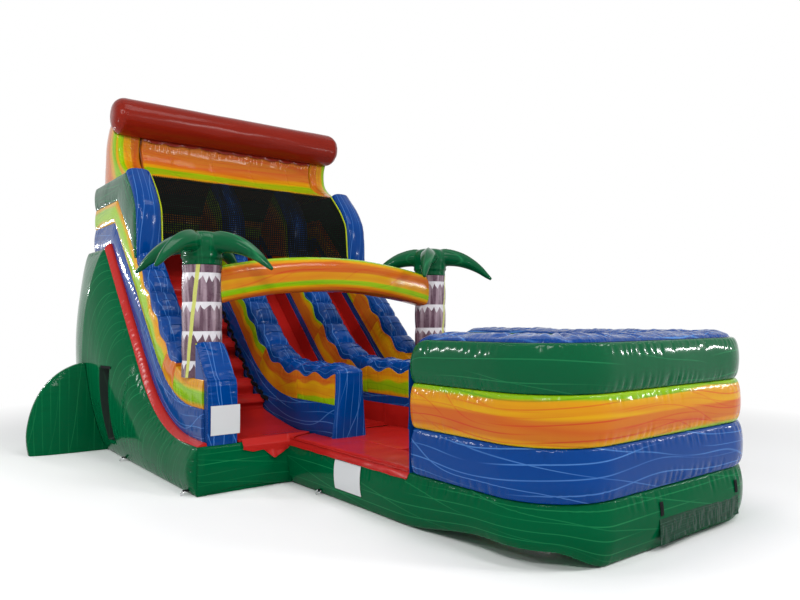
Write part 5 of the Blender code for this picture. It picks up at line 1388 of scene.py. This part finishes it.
def build_crown(side, label, turn):
    """Collar and dome with four drooping fronds, as one skin."""
    out, rise = (part[:, None] for part in smooth_line(CROWN_SHARES, 7).T)
    turns = np.linspace(0, math.tau, 65)[:-1]
    out = CROWN_RADIUS * out - 0.004 * (1 - np.abs(np.sin(turns * 9))) ** 2 * (rise < 0.3)
    dome = stacked(out * np.cos(turns), out * np.sin(turns), TRUNK_TOP_Z + CROWN_HEIGHT * rise)
    fronds = [frond(turn + quarter * math.pi / 2) for quarter in range(4)]
    mesh = united(joined("crown", [dome] + fronds), 0.009, 5)
    place = np.empty(len(mesh.vertices) * 3, np.float32)
    mesh.vertices.foreach_get("co", place)
    place = place.reshape(-1, 3)
    x, y, z = place.T
    out = np.hypot(x, y)
    store(mesh, stacked(out + z * 0.4, np.arctan2(y, x) * 0.22, out))
    mesh.vertices.foreach_set("co", (place + np.array((side * TRUNK_X, TRUNK_Y, 0), np.float32)).ravel())
    mesh.shade_smooth()
    make_piece("fronds_" + label, mesh, FROND_VINYL, ("palm_crown_" + label,))


def build_beam(seed):
    """Marbled beam between the trunks, hollowed at its ends to fit round them."""
    ring = np.linspace(0, math.tau, 65)[:-1]
    deep = powered(np.cos(ring), 0.5) * BEAM_DEPTH / 2
    high = powered(np.sin(ring), 0.55) * BEAM_HEIGHT / 2
    share = np.linspace(-1, 1, 200)[:, None]
    reach = TRUNK_X - np.sqrt(np.maximum((TRUNK_RADIUS + 0.004) ** 2 - deep ** 2, 0))
    x = reach * share
    end = np.abs((1 - np.abs(share)) * reach)
    seam_away = np.abs(ring - BEAM_SEAM_TURN) * BEAM_MEAN_RADIUS
    fold = puckers(ring * BEAM_MEAN_RADIUS, end, seed) + puckers(x, seam_away, seed + 2, depth=0.006)
    size = (1 - fold / 0.17) * (1 + 0.02 * noise2(x / 0.4, ring * 2, seed + 4))
    centre = BEAM_Z + BEAM_RISE * (1 - (x / TRUNK_X) ** 2)
    flow = stacked(x, ring * BEAM_MEAN_RADIUS, 0.72 + 1.34 * (high / BEAM_HEIGHT + 0.5))
    add_piece("arch", stacked(x, TRUNK_Y + deep * size, centre + high * size), flow, MARBLE, ("arch_beam",),
              seam_share(np.minimum(end, seam_away)))


build_trunk(-1, "left", 1300)
build_trunk(1, "right", 1310)
build_crown(-1, "left", LEFT_PALM_TURN)
build_crown(1, "right", RIGHT_PALM_TURN)
build_beam(1340)


# Splash pool
POOL_LEFT_X = -0.833
POOL_RIGHT_X = HALF_WIDTH + 0.03
POOL_FRONT_Y = -3.60
POOL_CORNER = 0.55
POOL_WALL = 0.40
POOL_BULGE = 0.055
POOL_INNER_BULGE = 0.04
POOL_LEAN = 0.06
POOL_WALL_START_Y = -2.10
POOL_SIDE_END_Y = -0.13
POOL_BASE_Z = 0.46
POOL_BLUE_Z = 0.834
POOL_ORANGE_Z = 1.197
POOL_GREEN_Z = 1.55
POOL_BASE_WALL = 0.42
POOL_BASE_BULGE = 0.050
POOL_BASE_UNDERCUT = 0.035
POOL_END_ROUND = 0.16
POOL_END_RUN = 0.20
LANDING_LENGTH = 1.25
LANDING_BACK_Y = -BASE_FRONT_BULGE - 0.003
LANDING_LEFT_X = POOL_LEFT_X + POOL_BASE_WALL + 0.003


def pool_plan(start_y, end_y, lean):
    """Points round the pool's outside and their outward directions."""
    right_x = POOL_RIGHT_X + POOL_LEAN * lean
    corner_y = POOL_FRONT_Y + POOL_CORNER
    turns = np.linspace(0, math.pi / 2, 46)[:-1]
    points, outs = [], []

    def add_side(start, end, out):
        part = spread(start, end, max(2, round(math.dist(start, end) / 0.018)))
        points.append(part)
        outs.append(np.broadcast_to(out, part.shape))

    def add_corner(x, start):
        out = stacked(np.cos(start + turns), np.sin(start + turns))
        points.append((x, corner_y) + out * POOL_CORNER)
        outs.append(out)

    add_side((POOL_LEFT_X, start_y), (POOL_LEFT_X, corner_y), (-1.0, 0.0))
    add_corner(POOL_LEFT_X + POOL_CORNER, math.pi)
    add_side((POOL_LEFT_X + POOL_CORNER, POOL_FRONT_Y), (right_x - POOL_CORNER, POOL_FRONT_Y), (0.0, -1.0))
    add_corner(right_x - POOL_CORNER, math.pi * 1.5)
    add_side((right_x, corner_y), (right_x, end_y), (1.0, 0.0))
    points, outs = np.concatenate(points), np.concatenate(outs)
    return points, outs, lengths(points)[:, None]


def wall_ends(length):
    """Distance to the nearer end of the pool's wall, and how far its top drops there."""
    ends = np.minimum(length, length[-1] - length)
    return ends, POOL_END_ROUND * (1 - rounded(ends / POOL_END_RUN))


def build_ring(name, low, high, lean, material, node, seed, roll=(0.0, 1.0)):
    """One chamber of the pool's wall, round the pool."""
    points, outs, length = pool_plan(POOL_WALL_START_Y, POOL_SIDE_END_Y, lean)
    rise = 0.5 - 0.5 * np.cos(math.pi * np.linspace(0, 1, 34))
    inner = np.linspace(1, 0, 16)
    tall = high - low
    both = np.concatenate((rise, inner))
    outer = np.repeat((1, -1), (34, 16))
    swell = np.concatenate((POOL_BULGE * cushion(rise, 0.38), -POOL_WALL - POOL_INNER_BULGE * cushion(inner)))
    fold = puckers_both(length, both * tall, tall, seed, depth=0.015, reach=0.032, pitch=0.085)
    fold = fold + 0.006 * noise2(length / 0.5, both * tall / 0.25, seed + 4) * cushion(both)
    ends, drop = wall_ends(length)
    reach = swell - outer * (fold + 0.05 * (1 - rounded(ends / 0.09)))
    z = low + 0.001 + (tall - 0.002) * both
    z = z - drop * np.clip((z - POOL_ORANGE_Z) / (POOL_GREEN_Z - POOL_ORANGE_Z), 0, 1)
    flow = stacked(length, both * tall, roll[0] + (roll[1] - roll[0]) * both)
    add_piece(name, stacked(*off_line(points, outs, reach), z), flow, material, (node,),
              seam_share(np.minimum(both, 1 - both) * tall))


def base_swell(rise):
    """How far the pool's base stands out, by its share of height: drawn in at the floor."""
    return POOL_BASE_BULGE * cushion(rise, 0.6) - POOL_BASE_UNDERCUT * (1 - rise) ** 3


def build_pool_base(seed):
    end_y = -BASE_FRONT_BULGE - 0.002
    points, outs, length = pool_plan(end_y, end_y, 1.0)
    rise = np.linspace(0, 1, 40)
    both = np.concatenate((rise, (1, 0)))
    fold = puckers(length, (1 - both) * POOL_BASE_Z, seed, depth=0.018, reach=0.045, pitch=0.08)
    fold = fold + puckers(length, both * POOL_BASE_Z, seed + 2, depth=0.006)
    fold = fold + 0.007 * noise2(length / 0.45, both / 0.5, seed + 4) * cushion(both)
    fold[:, -2:] = 0
    reach = np.concatenate((base_swell(rise), (-POOL_BASE_WALL, -POOL_BASE_WALL))) - fold
    run = length - 1.85
    lift = 0.125 * soft_step(run) * soft_step((2.0 - run) / 0.45)
    z = lift + both * (POOL_BASE_Z - lift)
    add_piece("pool_skirt", stacked(*off_line(points, outs, reach), z), stacked(length, both * POOL_BASE_Z, 0.5),
              PANEL_VINYL, ("pool_base",), seam_share(np.minimum(both, 1 - both) * POOL_BASE_Z))


def build_pool_cap(seed):
    """Crumpled cover over the pool's wall."""
    points, outs, length = pool_plan(POOL_WALL_START_Y, POOL_SIDE_END_Y, 0.0)
    share = np.linspace(0, 1, 40)
    width = POOL_WALL - 0.04
    across = share * width
    fold = puckers_both(length, across, width, seed, depth=0.03, reach=0.09, pitch=0.10)
    crumple = noise2(length / 0.07, across / 0.10, seed + 4) + noise2(length / 0.16, across / 0.12, seed + 5)
    fold = fold + 0.010 * crumple
    height = 0.055 * cushion(share, 0.45) - fold * cushion(share, 0.3)
    z = POOL_GREEN_Z + 0.002 + np.maximum(height, 0.0) - wall_ends(length)[1]
    near = np.maximum(seam_share(np.minimum(across, width - across)), 0.5)
    add_piece("pool_cover", stacked(*off_line(points, outs, -0.016 - across), z), stacked(length, across, 0.5),
              CAP_VINYL, ("pool_cap",), near)


def build_pool_end(seed):
    """Blue sheet over the end of the pool's wall, beside the exit."""
    x = np.linspace(POOL_LEFT_X - 0.035, POOL_LEFT_X + POOL_WALL + 0.03, 44)[:, None]
    across = (x - x[0]) / (x[-1] - x[0])
    top = POOL_GREEN_Z - POOL_END_ROUND - 0.05 * (1 - cushion(across, 0.3))
    z = POOL_BASE_Z + 0.006 + (top - POOL_BASE_Z - 0.01) * np.linspace(0, 1, 120)
    bulge = 0.035 * cushion(across)
    for level in (POOL_BLUE_Z, POOL_ORANGE_Z):
        bulge = bulge - crease(z - level, 0.008, 0.02)
    bulge = bulge - puckers(z, np.minimum(x - x[0], x[-1] - x), seed, depth=0.012)
    front = stacked(x, POOL_WALL_START_Y + 0.003 + np.maximum(bulge, 0.002), z)
    add_sheet("wall_end", front, stacked(x, POOL_WALL_START_Y + 0.002, z), (2, 0), BLUE_VINYL)


def build_landing(seed):
    """Red landing cushion before the lanes, and the deck beside it at the exit."""
    right = POOL_RIGHT_X + POOL_LEAN * 0.65 - POOL_WALL - POOL_INNER_BULGE - 0.003
    outline = box_outline((LANDING_BACK_Y - LANDING_LENGTH, 0.004), (LANDING_BACK_Y, BED_Z - 0.006))
    share = np.clip((outline[:, 0] - LANDING_BACK_Y + LANDING_LENGTH) / LANDING_LENGTH, 0, 1)
    build_sweep("landing_cushion", np.linspace(LANDING_LEFT_X, right, 130), outline, RED_VINYL, ("landing_pad",), seed,
                0.022 * cushion(share) * (outline[:, 1] > BED_Z - 0.01), cross=((LANDING_LEFT_X + right) / 2,),
                rounding=0.012, folds=1.2)
    outline = box_outline((POOL_WALL_START_Y + 0.05, POOL_BASE_Z + 0.003), (LANDING_BACK_Y, BED_Z))
    build_sweep("exit_deck", np.linspace(POOL_LEFT_X + 0.002, LANDING_LEFT_X + 0.05, 40), outline, RED_VINYL, (),
                seed + 40, 0.012 * (outline[:, 1] > BED_Z - 0.002), rounding=0.004, folds=0.8)


def build_exit_rim():
    """Red vinyl turned down over the base's edge at the exit, between two pipings."""
    for number, z in enumerate((BED_Z - 0.008, POOL_BASE_Z - 0.048)):
        ys = np.linspace(LANDING_BACK_Y - 0.01, POOL_WALL_START_Y + 0.04, 90)
        x = POOL_LEFT_X - base_swell(min(1.0, z / POOL_BASE_Z)) - 0.016
        build_cord(f"exit_piping_{number}", stacked(x, ys, z + 0.002 * np.sin(ys * 21)), 0.006, RED_VINYL)
    y = np.linspace(LANDING_BACK_Y - 0.008, POOL_WALL_START_Y + 0.035, 110)[:, None]
    z = np.linspace(POOL_BASE_Z - 0.048, BED_Z - 0.006, 14)[None]
    x = POOL_LEFT_X - base_swell(np.minimum(z / POOL_BASE_Z, 1.0)) - 0.010 - 0.004 * noise2(y / 0.12, z / 0.05, 1540)
    front = stacked(x, y, z)
    add_sheet("exit_hem", front, front + (0.005, 0, 0), (1, 2), RED_VINYL, fill=None)


def build_basin_floor(seed):
    """Sunken floor of the pool, as rings that shrink towards its middle."""
    left, right = LANDING_LEFT_X, POOL_RIGHT_X + POOL_LEAN - POOL_BASE_WALL - 0.004
    front, rear = POOL_FRONT_Y + POOL_BASE_WALL + 0.004, LANDING_BACK_Y - LANDING_LENGTH - 0.004
    turns = np.linspace(0, math.pi / 2, 7)
    bend = (POOL_CORNER - POOL_BASE_WALL) * (1 - stacked(np.cos(turns), np.sin(turns)))
    plan = dense([(left, rear), *((left, front) + bend), *((right, front) + bend[::-1] * (-1, 1)),
                  (right, rear), (left, rear)], 0.05)[:-1]
    middle = np.array(((left + right) / 2, (front + rear) / 2))
    share = np.linspace(0.0, 0.98, 40)[:, None]
    x, y = (centre + (part - centre) * (1 - share) for centre, part in zip(middle, plan.T))
    z = 0.060 + 0.018 * np.sqrt(np.minimum(1.0, share / 0.12)) + 0.004 * noise2(x / 0.4, y / 0.3, seed)
    z = z - crease(np.mod(x - left, 0.6) - 0.3, 0.010, 0.015) * (share > 0.02)
    grid = np.concatenate((stacked(*plan.T, 0.004)[None], stacked(x, y, z)))
    add_piece("basin_floor", grid, grid, RED_VINYL, ("pool_floor",))


def build_flange(name, x, out, seed):
    """Red sheet welded to a divider's side, which carries on the lane's edge to the divider's front."""
    y = np.linspace(DIVIDER_FRONT_Y + 0.012, 0.0, 60)[:, None]
    rise = np.linspace(0.0, 1.0, 30)[None]
    z = BED_Z + 0.001 + (BED_FLANGE - 0.001) * rise
    stand = 0.008 + 0.004 * noise2(y / 0.16, rise / 0.5, seed) + 0.004 * cushion(rise)
    add_sheet(name, stacked(x + out * stand, y, z), stacked(x + out * 0.0065, y, z), (1, 2), RED_VINYL, fill=None)


build_flange("lane_edge_left", DIVIDER_ONE_X + DIVIDER, 1, 1380)
build_flange("lane_edge_middle_left", DIVIDER_TWO_X, -1, 1382)
build_flange("lane_edge_middle_right", DIVIDER_TWO_X + DIVIDER, 1, 1384)
build_roll_hem(1390)
build_pool_base(1400)
build_ring("blue_ring", POOL_BASE_Z, POOL_BLUE_Z, 0.65, BLUE_VINYL, "pool_ring_blue", 1420)
build_ring("orange_ring", POOL_BLUE_Z, POOL_ORANGE_Z, 0.35, MARBLE_LONG, "pool_ring_orange", 1440, roll=(1.0, 0.07))
build_ring("green_ring", POOL_ORANGE_Z, POOL_GREEN_Z, 0.0, RING_VINYL, "pool_ring_green", 1460)
build_pool_cap(1480)
build_pool_end(1490)
build_landing(1500)
build_exit_rim()
build_basin_floor(1590)


# Flaps, straps, patches and anchors
ENTRY_FLAP_LEFT_X = -1.375
ENTRY_FLAP_WIDTH = 0.77
ENTRY_FLAP_DROP = 0.23
ENTRY_FLAP_LEAN = math.atan(0.3)
ENTRY_FLAP_SHARES = ((0.0, 0.45), (0.14, 0.60), (0.29, 0.54), (0.43, 1.0), (0.58, 0.76), (0.68, 0.58), (0.80, 0.36),
                     (1.0, 0.10))
ENTRY_FLAP_BEND_X = -0.875
PORT_FLAP_LEFT_X = 0.24
PORT_FLAP_WIDTH = 1.16
PORT_FLAP_TOP_Z = 0.24
PORT_FLAP_DROP = 0.19
PORT_FLAP_OUT = 0.046
PORT_FLAP_SHARES = ((0.0, 1.0), (0.05, 1.0), (0.22, 0.93), (0.5, 0.86), (0.80, 0.90), (1.0, 0.82))
PORT_STRAP_TOP_Z = 0.305
HANDLE_PITCH = 0.17
HANDLE_LOOPS = 12
HANDLE_START = 1.05
HANDLE_WIDTH = 0.05
HANDLE_STAND_OFF = 0.035
HANDLE_SHARES = ((0.0, 0.0), (0.28, 0.0), (0.46, 1.0), (0.80, 1.0))
ANCHOR_BAR = (0.072, 0.040)
ANCHOR_FOOT = -0.03
ANCHOR_LOOP_RADIUS = 0.0062
POOL_ANCHOR_Y = -0.641


def build_cloth(name, centre, thickness, material, node):
    """A hung sheet of even thickness through a grid of points."""
    normal = np.cross(np.gradient(centre, axis=1), np.gradient(centre, axis=0))
    half = normal / np.maximum(np.linalg.norm(normal, axis=2, keepdims=True), 1e-9) * thickness / 2
    rows = np.arange(centre.shape[1]) * 0.02
    flow = stacked(np.linspace(0, 1, len(centre))[:, None], np.concatenate((rows, rows[::-1])), 0.5)
    piece = add_piece(name, joined_rows(centre + half, (centre - half)[:, ::-1]), flow, material, (node,), body=node,
                      fill=None)


def build_entry_flap():
    """Red cloth hung over the front edge of the climbing lane, with folds that open downwards."""
    u = np.linspace(0, 1, 100)
    window = np.hanning(9) / np.hanning(9).sum()
    drop = np.convolve(np.pad(np.interp(u, *zip(*ENTRY_FLAP_SHARES)), 4, mode="edge"), window, mode="valid")
    down = drop[:, None] * np.linspace(0, 1, 26) * ENTRY_FLAP_DROP
    x = (ENTRY_FLAP_LEFT_X + ENTRY_FLAP_WIDTH * u)[:, None]
    wave = 0.020 * np.sin(u * 15.0 + 0.6) + 0.012 * np.sin(u * 31.0 + 2.0)
    out = down * math.sin(ENTRY_FLAP_LEAN) + wave[:, None] * (down / ENTRY_FLAP_DROP)
    out = np.maximum(out, 0.050 * np.clip(down / 0.07, 0, 1))
    z = BED_Z + BED_THICKNESS - down * math.cos(ENTRY_FLAP_LEAN) * 0.985
    flat = soft_step((x - ENTRY_FLAP_BEND_X) / 0.05)
    rest = BED_Z + 0.018 + (BED_THICKNESS - 0.018) * np.clip(1 - down / 0.04, 0, 1)
    y = -0.006 - out * (1 - flat) - down * flat
    z = z * (1 - flat) + np.maximum(rest, z) * flat
    build_cloth("entry_cloth", stacked(x, y, z), 0.004, RED_CLOTH, "entrance_flap")


def build_port_flap():
    """Green cloth hung over the port in the pool's base."""
    u = np.linspace(0, 1, 120)
    drop = np.interp(u, *zip(*PORT_FLAP_SHARES))
    down = drop[:, None] * np.linspace(0, 1, 30) * PORT_FLAP_DROP
    x = (PORT_FLAP_LEFT_X + PORT_FLAP_WIDTH * u)[:, None]
    fold = 0.006 * np.abs(noise2(x / 0.07, down / 0.2, 71)) + 0.004 * np.abs(noise2(x / 0.03, down / 0.09, 72))
    y = POOL_FRONT_Y - PORT_FLAP_OUT - 0.002 - fold * np.clip(down / 0.04, 0, 1)
    build_cloth("port_cover", stacked(x, y, PORT_FLAP_TOP_Z - down), 0.003, PORT_VINYL_WITH_GLINTS, "port_flap")


def build_strip(name, line, half, thickness, material, nodes=()):
    """A flat strap along a line; half is half its width as a vector, one for all points or one for each."""
    line, half = np.asarray(line, float), np.asarray(half, float)
    normal = np.cross(np.gradient(line, axis=0), half)
    thin = normal / np.maximum(np.linalg.norm(normal, axis=1, keepdims=True), 1e-9) * thickness / 2
    ring = (line - half - thin, line - thin * 1.05, line + half - thin,
            line + half + thin, line + thin * 1.05, line - half + thin)
    add_piece(name, np.stack(ring, axis=1), stacked(lengths(line)[:, None], 0.0, 0.5), material, nodes, fill=None)


def build_handles():
    """Webbing sewn to the first divider between its hand loops."""
    knots = np.array([(HANDLE_START + HANDLE_PITCH * (loop + run) - BED_FLAT, out)
                      for loop in range(HANDLE_LOOPS + 1) for run, out in HANDLE_SHARES][:-2])
    places = np.linspace(knots[0, 0], knots[-1, 0], 420)
    offs = soft_step(np.interp(places, *knots.T)) * HANDLE_STAND_OFF
    face = DIVIDER_ONE_X - OUTER_BULGE - 0.006
    low = BLUE_TOP * 0.44 + HANDLE_WIDTH / 2
    points, halves = [], []
    for place, off in zip(places, offs):
        point, up = bed_at(place)
        points.append((face - off, *(point + up * low)))
        halves.append((0, *(up * HANDLE_WIDTH / 2)))
    build_strip("hand_loops", points, halves, 0.004, BLACK_WEBBING, ("handle_strap",))


def build_port_straps():
    zs = np.linspace(PORT_FLAP_TOP_Z + 0.024, PORT_STRAP_TOP_Z + 0.06, 16)
    ys = POOL_FRONT_Y - np.maximum(PORT_FLAP_OUT, base_swell(zs / POOL_BASE_Z) + 0.008)
    for label, x in (("left", PORT_FLAP_LEFT_X + 0.03), ("right", PORT_FLAP_LEFT_X + PORT_FLAP_WIDTH - 0.03)):
        build_strip("port_tie_" + label, stacked(x, ys, zs), (0.02, 0, 0), 0.003, BLACK_WEBBING,
                    ("port_strap_" + label,))


def build_patch(name, corner, across, up, bulge):
    """A bare white patch welded to the vinyl."""
    u, v = np.linspace(0, 1, 24)[:, None, None], np.linspace(0, 1, 24)[None, :, None]
    out = np.cross(across, up)
    out = out / np.linalg.norm(out)
    face = corner + u * across + v * up + out * bulge(v)
    add_piece(name, joined_rows(face, (face - out * 0.002)[:, ::-1]), 0.0, WHITE_VINYL, fill=None)


def build_anchor(name, x, y, side):
    """Webbing loop that holds a D-ring's bar."""
    out, z = ANCHOR_BAR
    turns = np.linspace(math.pi / 2, -math.pi / 2, 12)
    bend = ANCHOR_BAR + ANCHOR_LOOP_RADIUS * stacked(np.cos(turns), np.sin(turns))
    line = [(ANCHOR_FOOT, z + ANCHOR_LOOP_RADIUS), *bend, (ANCHOR_FOOT, z - ANCHOR_LOOP_RADIUS)]
    build_strip(name, dense([(x + side * out, y, z) for out, z in line], 0.006), (0, 0.02, 0), 0.0026, BLACK_WEBBING)


build_entry_flap()
build_port_flap()
build_handles()
build_port_straps()
build_slot()
for label, left in (("left", LANE_ONE_X), ("right", LANE_TWO_X)):
    apron = stacked(np.linspace(left + 0.016, left + LANE_WIDTH - 0.016, 12), -0.028, BED_Z + 0.006)
    build_strip("lane_apron_" + label, apron, (0, 0.031, 0), 0.004, RED_VINYL)
build_patch("front_patch", (-1.708, -0.028, 0.58), (0.305, 0, 0), (0, 0, 0.29),
            lambda v: 0.0065 * np.sin(math.pi / 2 * np.minimum(1, 1.6 * v)))
build_patch("base_patch", (POOL_LEFT_X - 0.004, -0.97, 0.13), (0, -0.43, 0), (0, 0, 0.27),
            lambda v: base_swell((0.13 + 0.27 * v) / POOL_BASE_Z))
for end, y in (("front", 0.16), ("rear", 2.234)):
    for side, label in SIDES:
        build_anchor(f"{end}_tab_{label}", side * HALF_WIDTH, y, side)
build_anchor("pool_tab_left", POOL_LEFT_X + 0.06, POOL_ANCHOR_Y, -1)
build_anchor("pool_tab_right", POOL_RIGHT_X + POOL_LEAN - 0.06, POOL_ANCHOR_Y, 1)


def build_ring_finish():
    """Plated steel for the D-rings, which stay as they are."""
    material, tree, inputs = new_material("plated_steel")
    place = add_value(tree, "ShaderNodeTexCoord", output="Object")
    grain = add_value(tree, "ShaderNodeTexNoise", {"Vector": place, "Scale": 160.0, "Detail": 3.0}, "Fac")
    plug(inputs["Base Color"], (0.62, 0.62, 0.64, 1))
    plug(inputs["Metallic"], 1.0)
    plug(inputs["Roughness"], grain * 0.18 + 0.2)
    for name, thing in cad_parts.items():
        if name.endswith("_ring") and "anchor" in name:
            thing.data.materials.clear()
            thing.data.materials.append(material)


build_ring_finish()


# Camera, lights and floor
CAMERA_PLACE = (-4.3441, -6.4958 + FRONT_Y, 1.72)
CAMERA_YAW = 0.6565
CAMERA_PITCH = 0.0274
CAMERA_ROLL = -0.0046
CAMERA_LENS = 30.795
CAMERA_SENSOR = 36.0
STRIP_POWER = 78
STRIP_SIZE = (0.95, 0.15)
STRIP_PLACES = ((-5.8, 3.5, 3.0), (7.8, -7.5, 2.6), (-0.5, -6.6, 6.2), (-4.2, 9.7, 3.1), (-5.5, -3.5, 7.2),
                (-6.5, 0.5, 6.5), (3.2, -8.5, 5.4))
DIM_WHITE = (0.95, 0.97, 1.0, 1)
WHITE = (1, 1, 1, 1)
FLOOR_REACH = 150.0


def build_camera():
    yaw, pitch, roll = CAMERA_YAW, CAMERA_PITCH, CAMERA_ROLL
    look = Vector((math.sin(yaw) * math.cos(pitch), math.cos(yaw) * math.cos(pitch), math.sin(pitch)))
    level = Vector((math.cos(yaw), -math.sin(yaw), 0))
    up = level.cross(look)
    right = level * math.cos(roll) + up * math.sin(roll)
    above = up * math.cos(roll) - level * math.sin(roll)
    data = bpy.data.cameras.new("camera")
    data.lens = CAMERA_LENS
    data.sensor_width = CAMERA_SENSOR
    camera = bpy.data.objects.new("camera", data)
    bpy.context.scene.collection.objects.link(camera)
    columns = zip(right, above, -look, CAMERA_PLACE)
    camera.matrix_world = Matrix([list(row) for row in columns] + [[0, 0, 0, 1]])
    bpy.context.scene.camera = camera


def build_light(name, place, target, size, power):
    data = bpy.data.lights.new(name, "AREA")
    data.shape = "RECTANGLE"
    data.size, data.size_y = size
    data.energy = power
    lamp = bpy.data.objects.new(name, data)
    lamp.location = place
    lamp.rotation_euler = (Vector(target) - Vector(place)).to_track_quat("-Z", "Y").to_euler()
    bpy.context.scene.collection.objects.link(lamp)


def seen_rays(tree):
    """One for rays that the camera sees, straight or by a mirror or through glass, and none for the rest."""
    rays = add_node(tree, "ShaderNodeLightPath").outputs
    straight, mirror, glass = (Value(tree, rays[f"Is {kind} Ray"]) for kind in ("Camera", "Glossy", "Transmission"))
    return straight.larger(mirror.larger(glass))


def build_world():
    """White behind the slide, with a dimmer light from all round."""
    world = bpy.data.worlds.new("studio")
    bpy.context.scene.world = world
    world.use_nodes = True
    tree = world.node_tree
    tree.nodes.clear()
    dim = add_value(tree, "ShaderNodeBackground", {"Color": DIM_WHITE, "Strength": 0.36})
    white = add_value(tree, "ShaderNodeBackground", {"Color": WHITE, "Strength": 1.0})
    mix = add_value(tree, "ShaderNodeMixShader", {0: seen_rays(tree), 1: dim, 2: white})
    add_node(tree, "ShaderNodeOutputWorld", {"Surface": mix})


def build_floor():
    """A wide pale floor that keeps the shadow near the slide and turns white further out."""
    mesh = bpy.data.meshes.new("floor")
    corners = [(x * FLOOR_REACH, y * FLOOR_REACH, 0) for x, y in ((-1, -1), (1, -1), (1, 1), (-1, 1))]
    mesh.from_pydata(corners, [], [(0, 1, 2, 3)])
    floor = bpy.data.objects.new("floor", mesh)
    floor.location.z = -0.001
    bpy.context.scene.collection.objects.link(floor)
    material, tree, inputs = new_material("floor")
    plug(inputs["Base Color"], (0.9, 0.9, 0.9, 1))
    plug(inputs["Roughness"], 0.85)
    plug(inputs["Specular IOR Level"], 0.0)
    place = add_value(tree, "ShaderNodeTexCoord", output="Object")
    far = add_value(tree, "ShaderNodeVectorMath", {0: place}, "Value", operation="LENGTH")
    share = add_value(tree, "ShaderNodeMapRange", {"Value": far, "From Min": 4.5, "From Max": 9.0})
    glow = add_value(tree, "ShaderNodeEmission", {"Color": WHITE, "Strength": 1.0})
    pale = Value(tree, tree.nodes["Principled BSDF"].outputs[0])
    mix = add_value(tree, "ShaderNodeMixShader", {0: share * seen_rays(tree), 1: pale, 2: glow})
    plug(tree.nodes["Material Output"].inputs["Surface"], mix)
    mesh.materials.append(material)


build_camera()
build_world()
build_floor()
build_light("key", (-7.0, -9.0, 7.5), (0, 0, 1.5), (2.2, 1.4), 400)
build_light("fill", (5.0, -10.0, 6.5), (0.5, -1, 1.2), (2.4, 1.6), 240)
build_light("top", (0.0, -2.0, 9.5), (0, 0, 1), (4.0, 3.0), 200)
for number, (x, y, z) in enumerate(STRIP_PLACES):
    build_light(f"strip_{number}", (x, y + FRONT_Y, z), (0.0, FRONT_Y, 1.0), STRIP_SIZE, STRIP_POWER)
bpy.context.scene.view_settings.view_transform = "Standard"
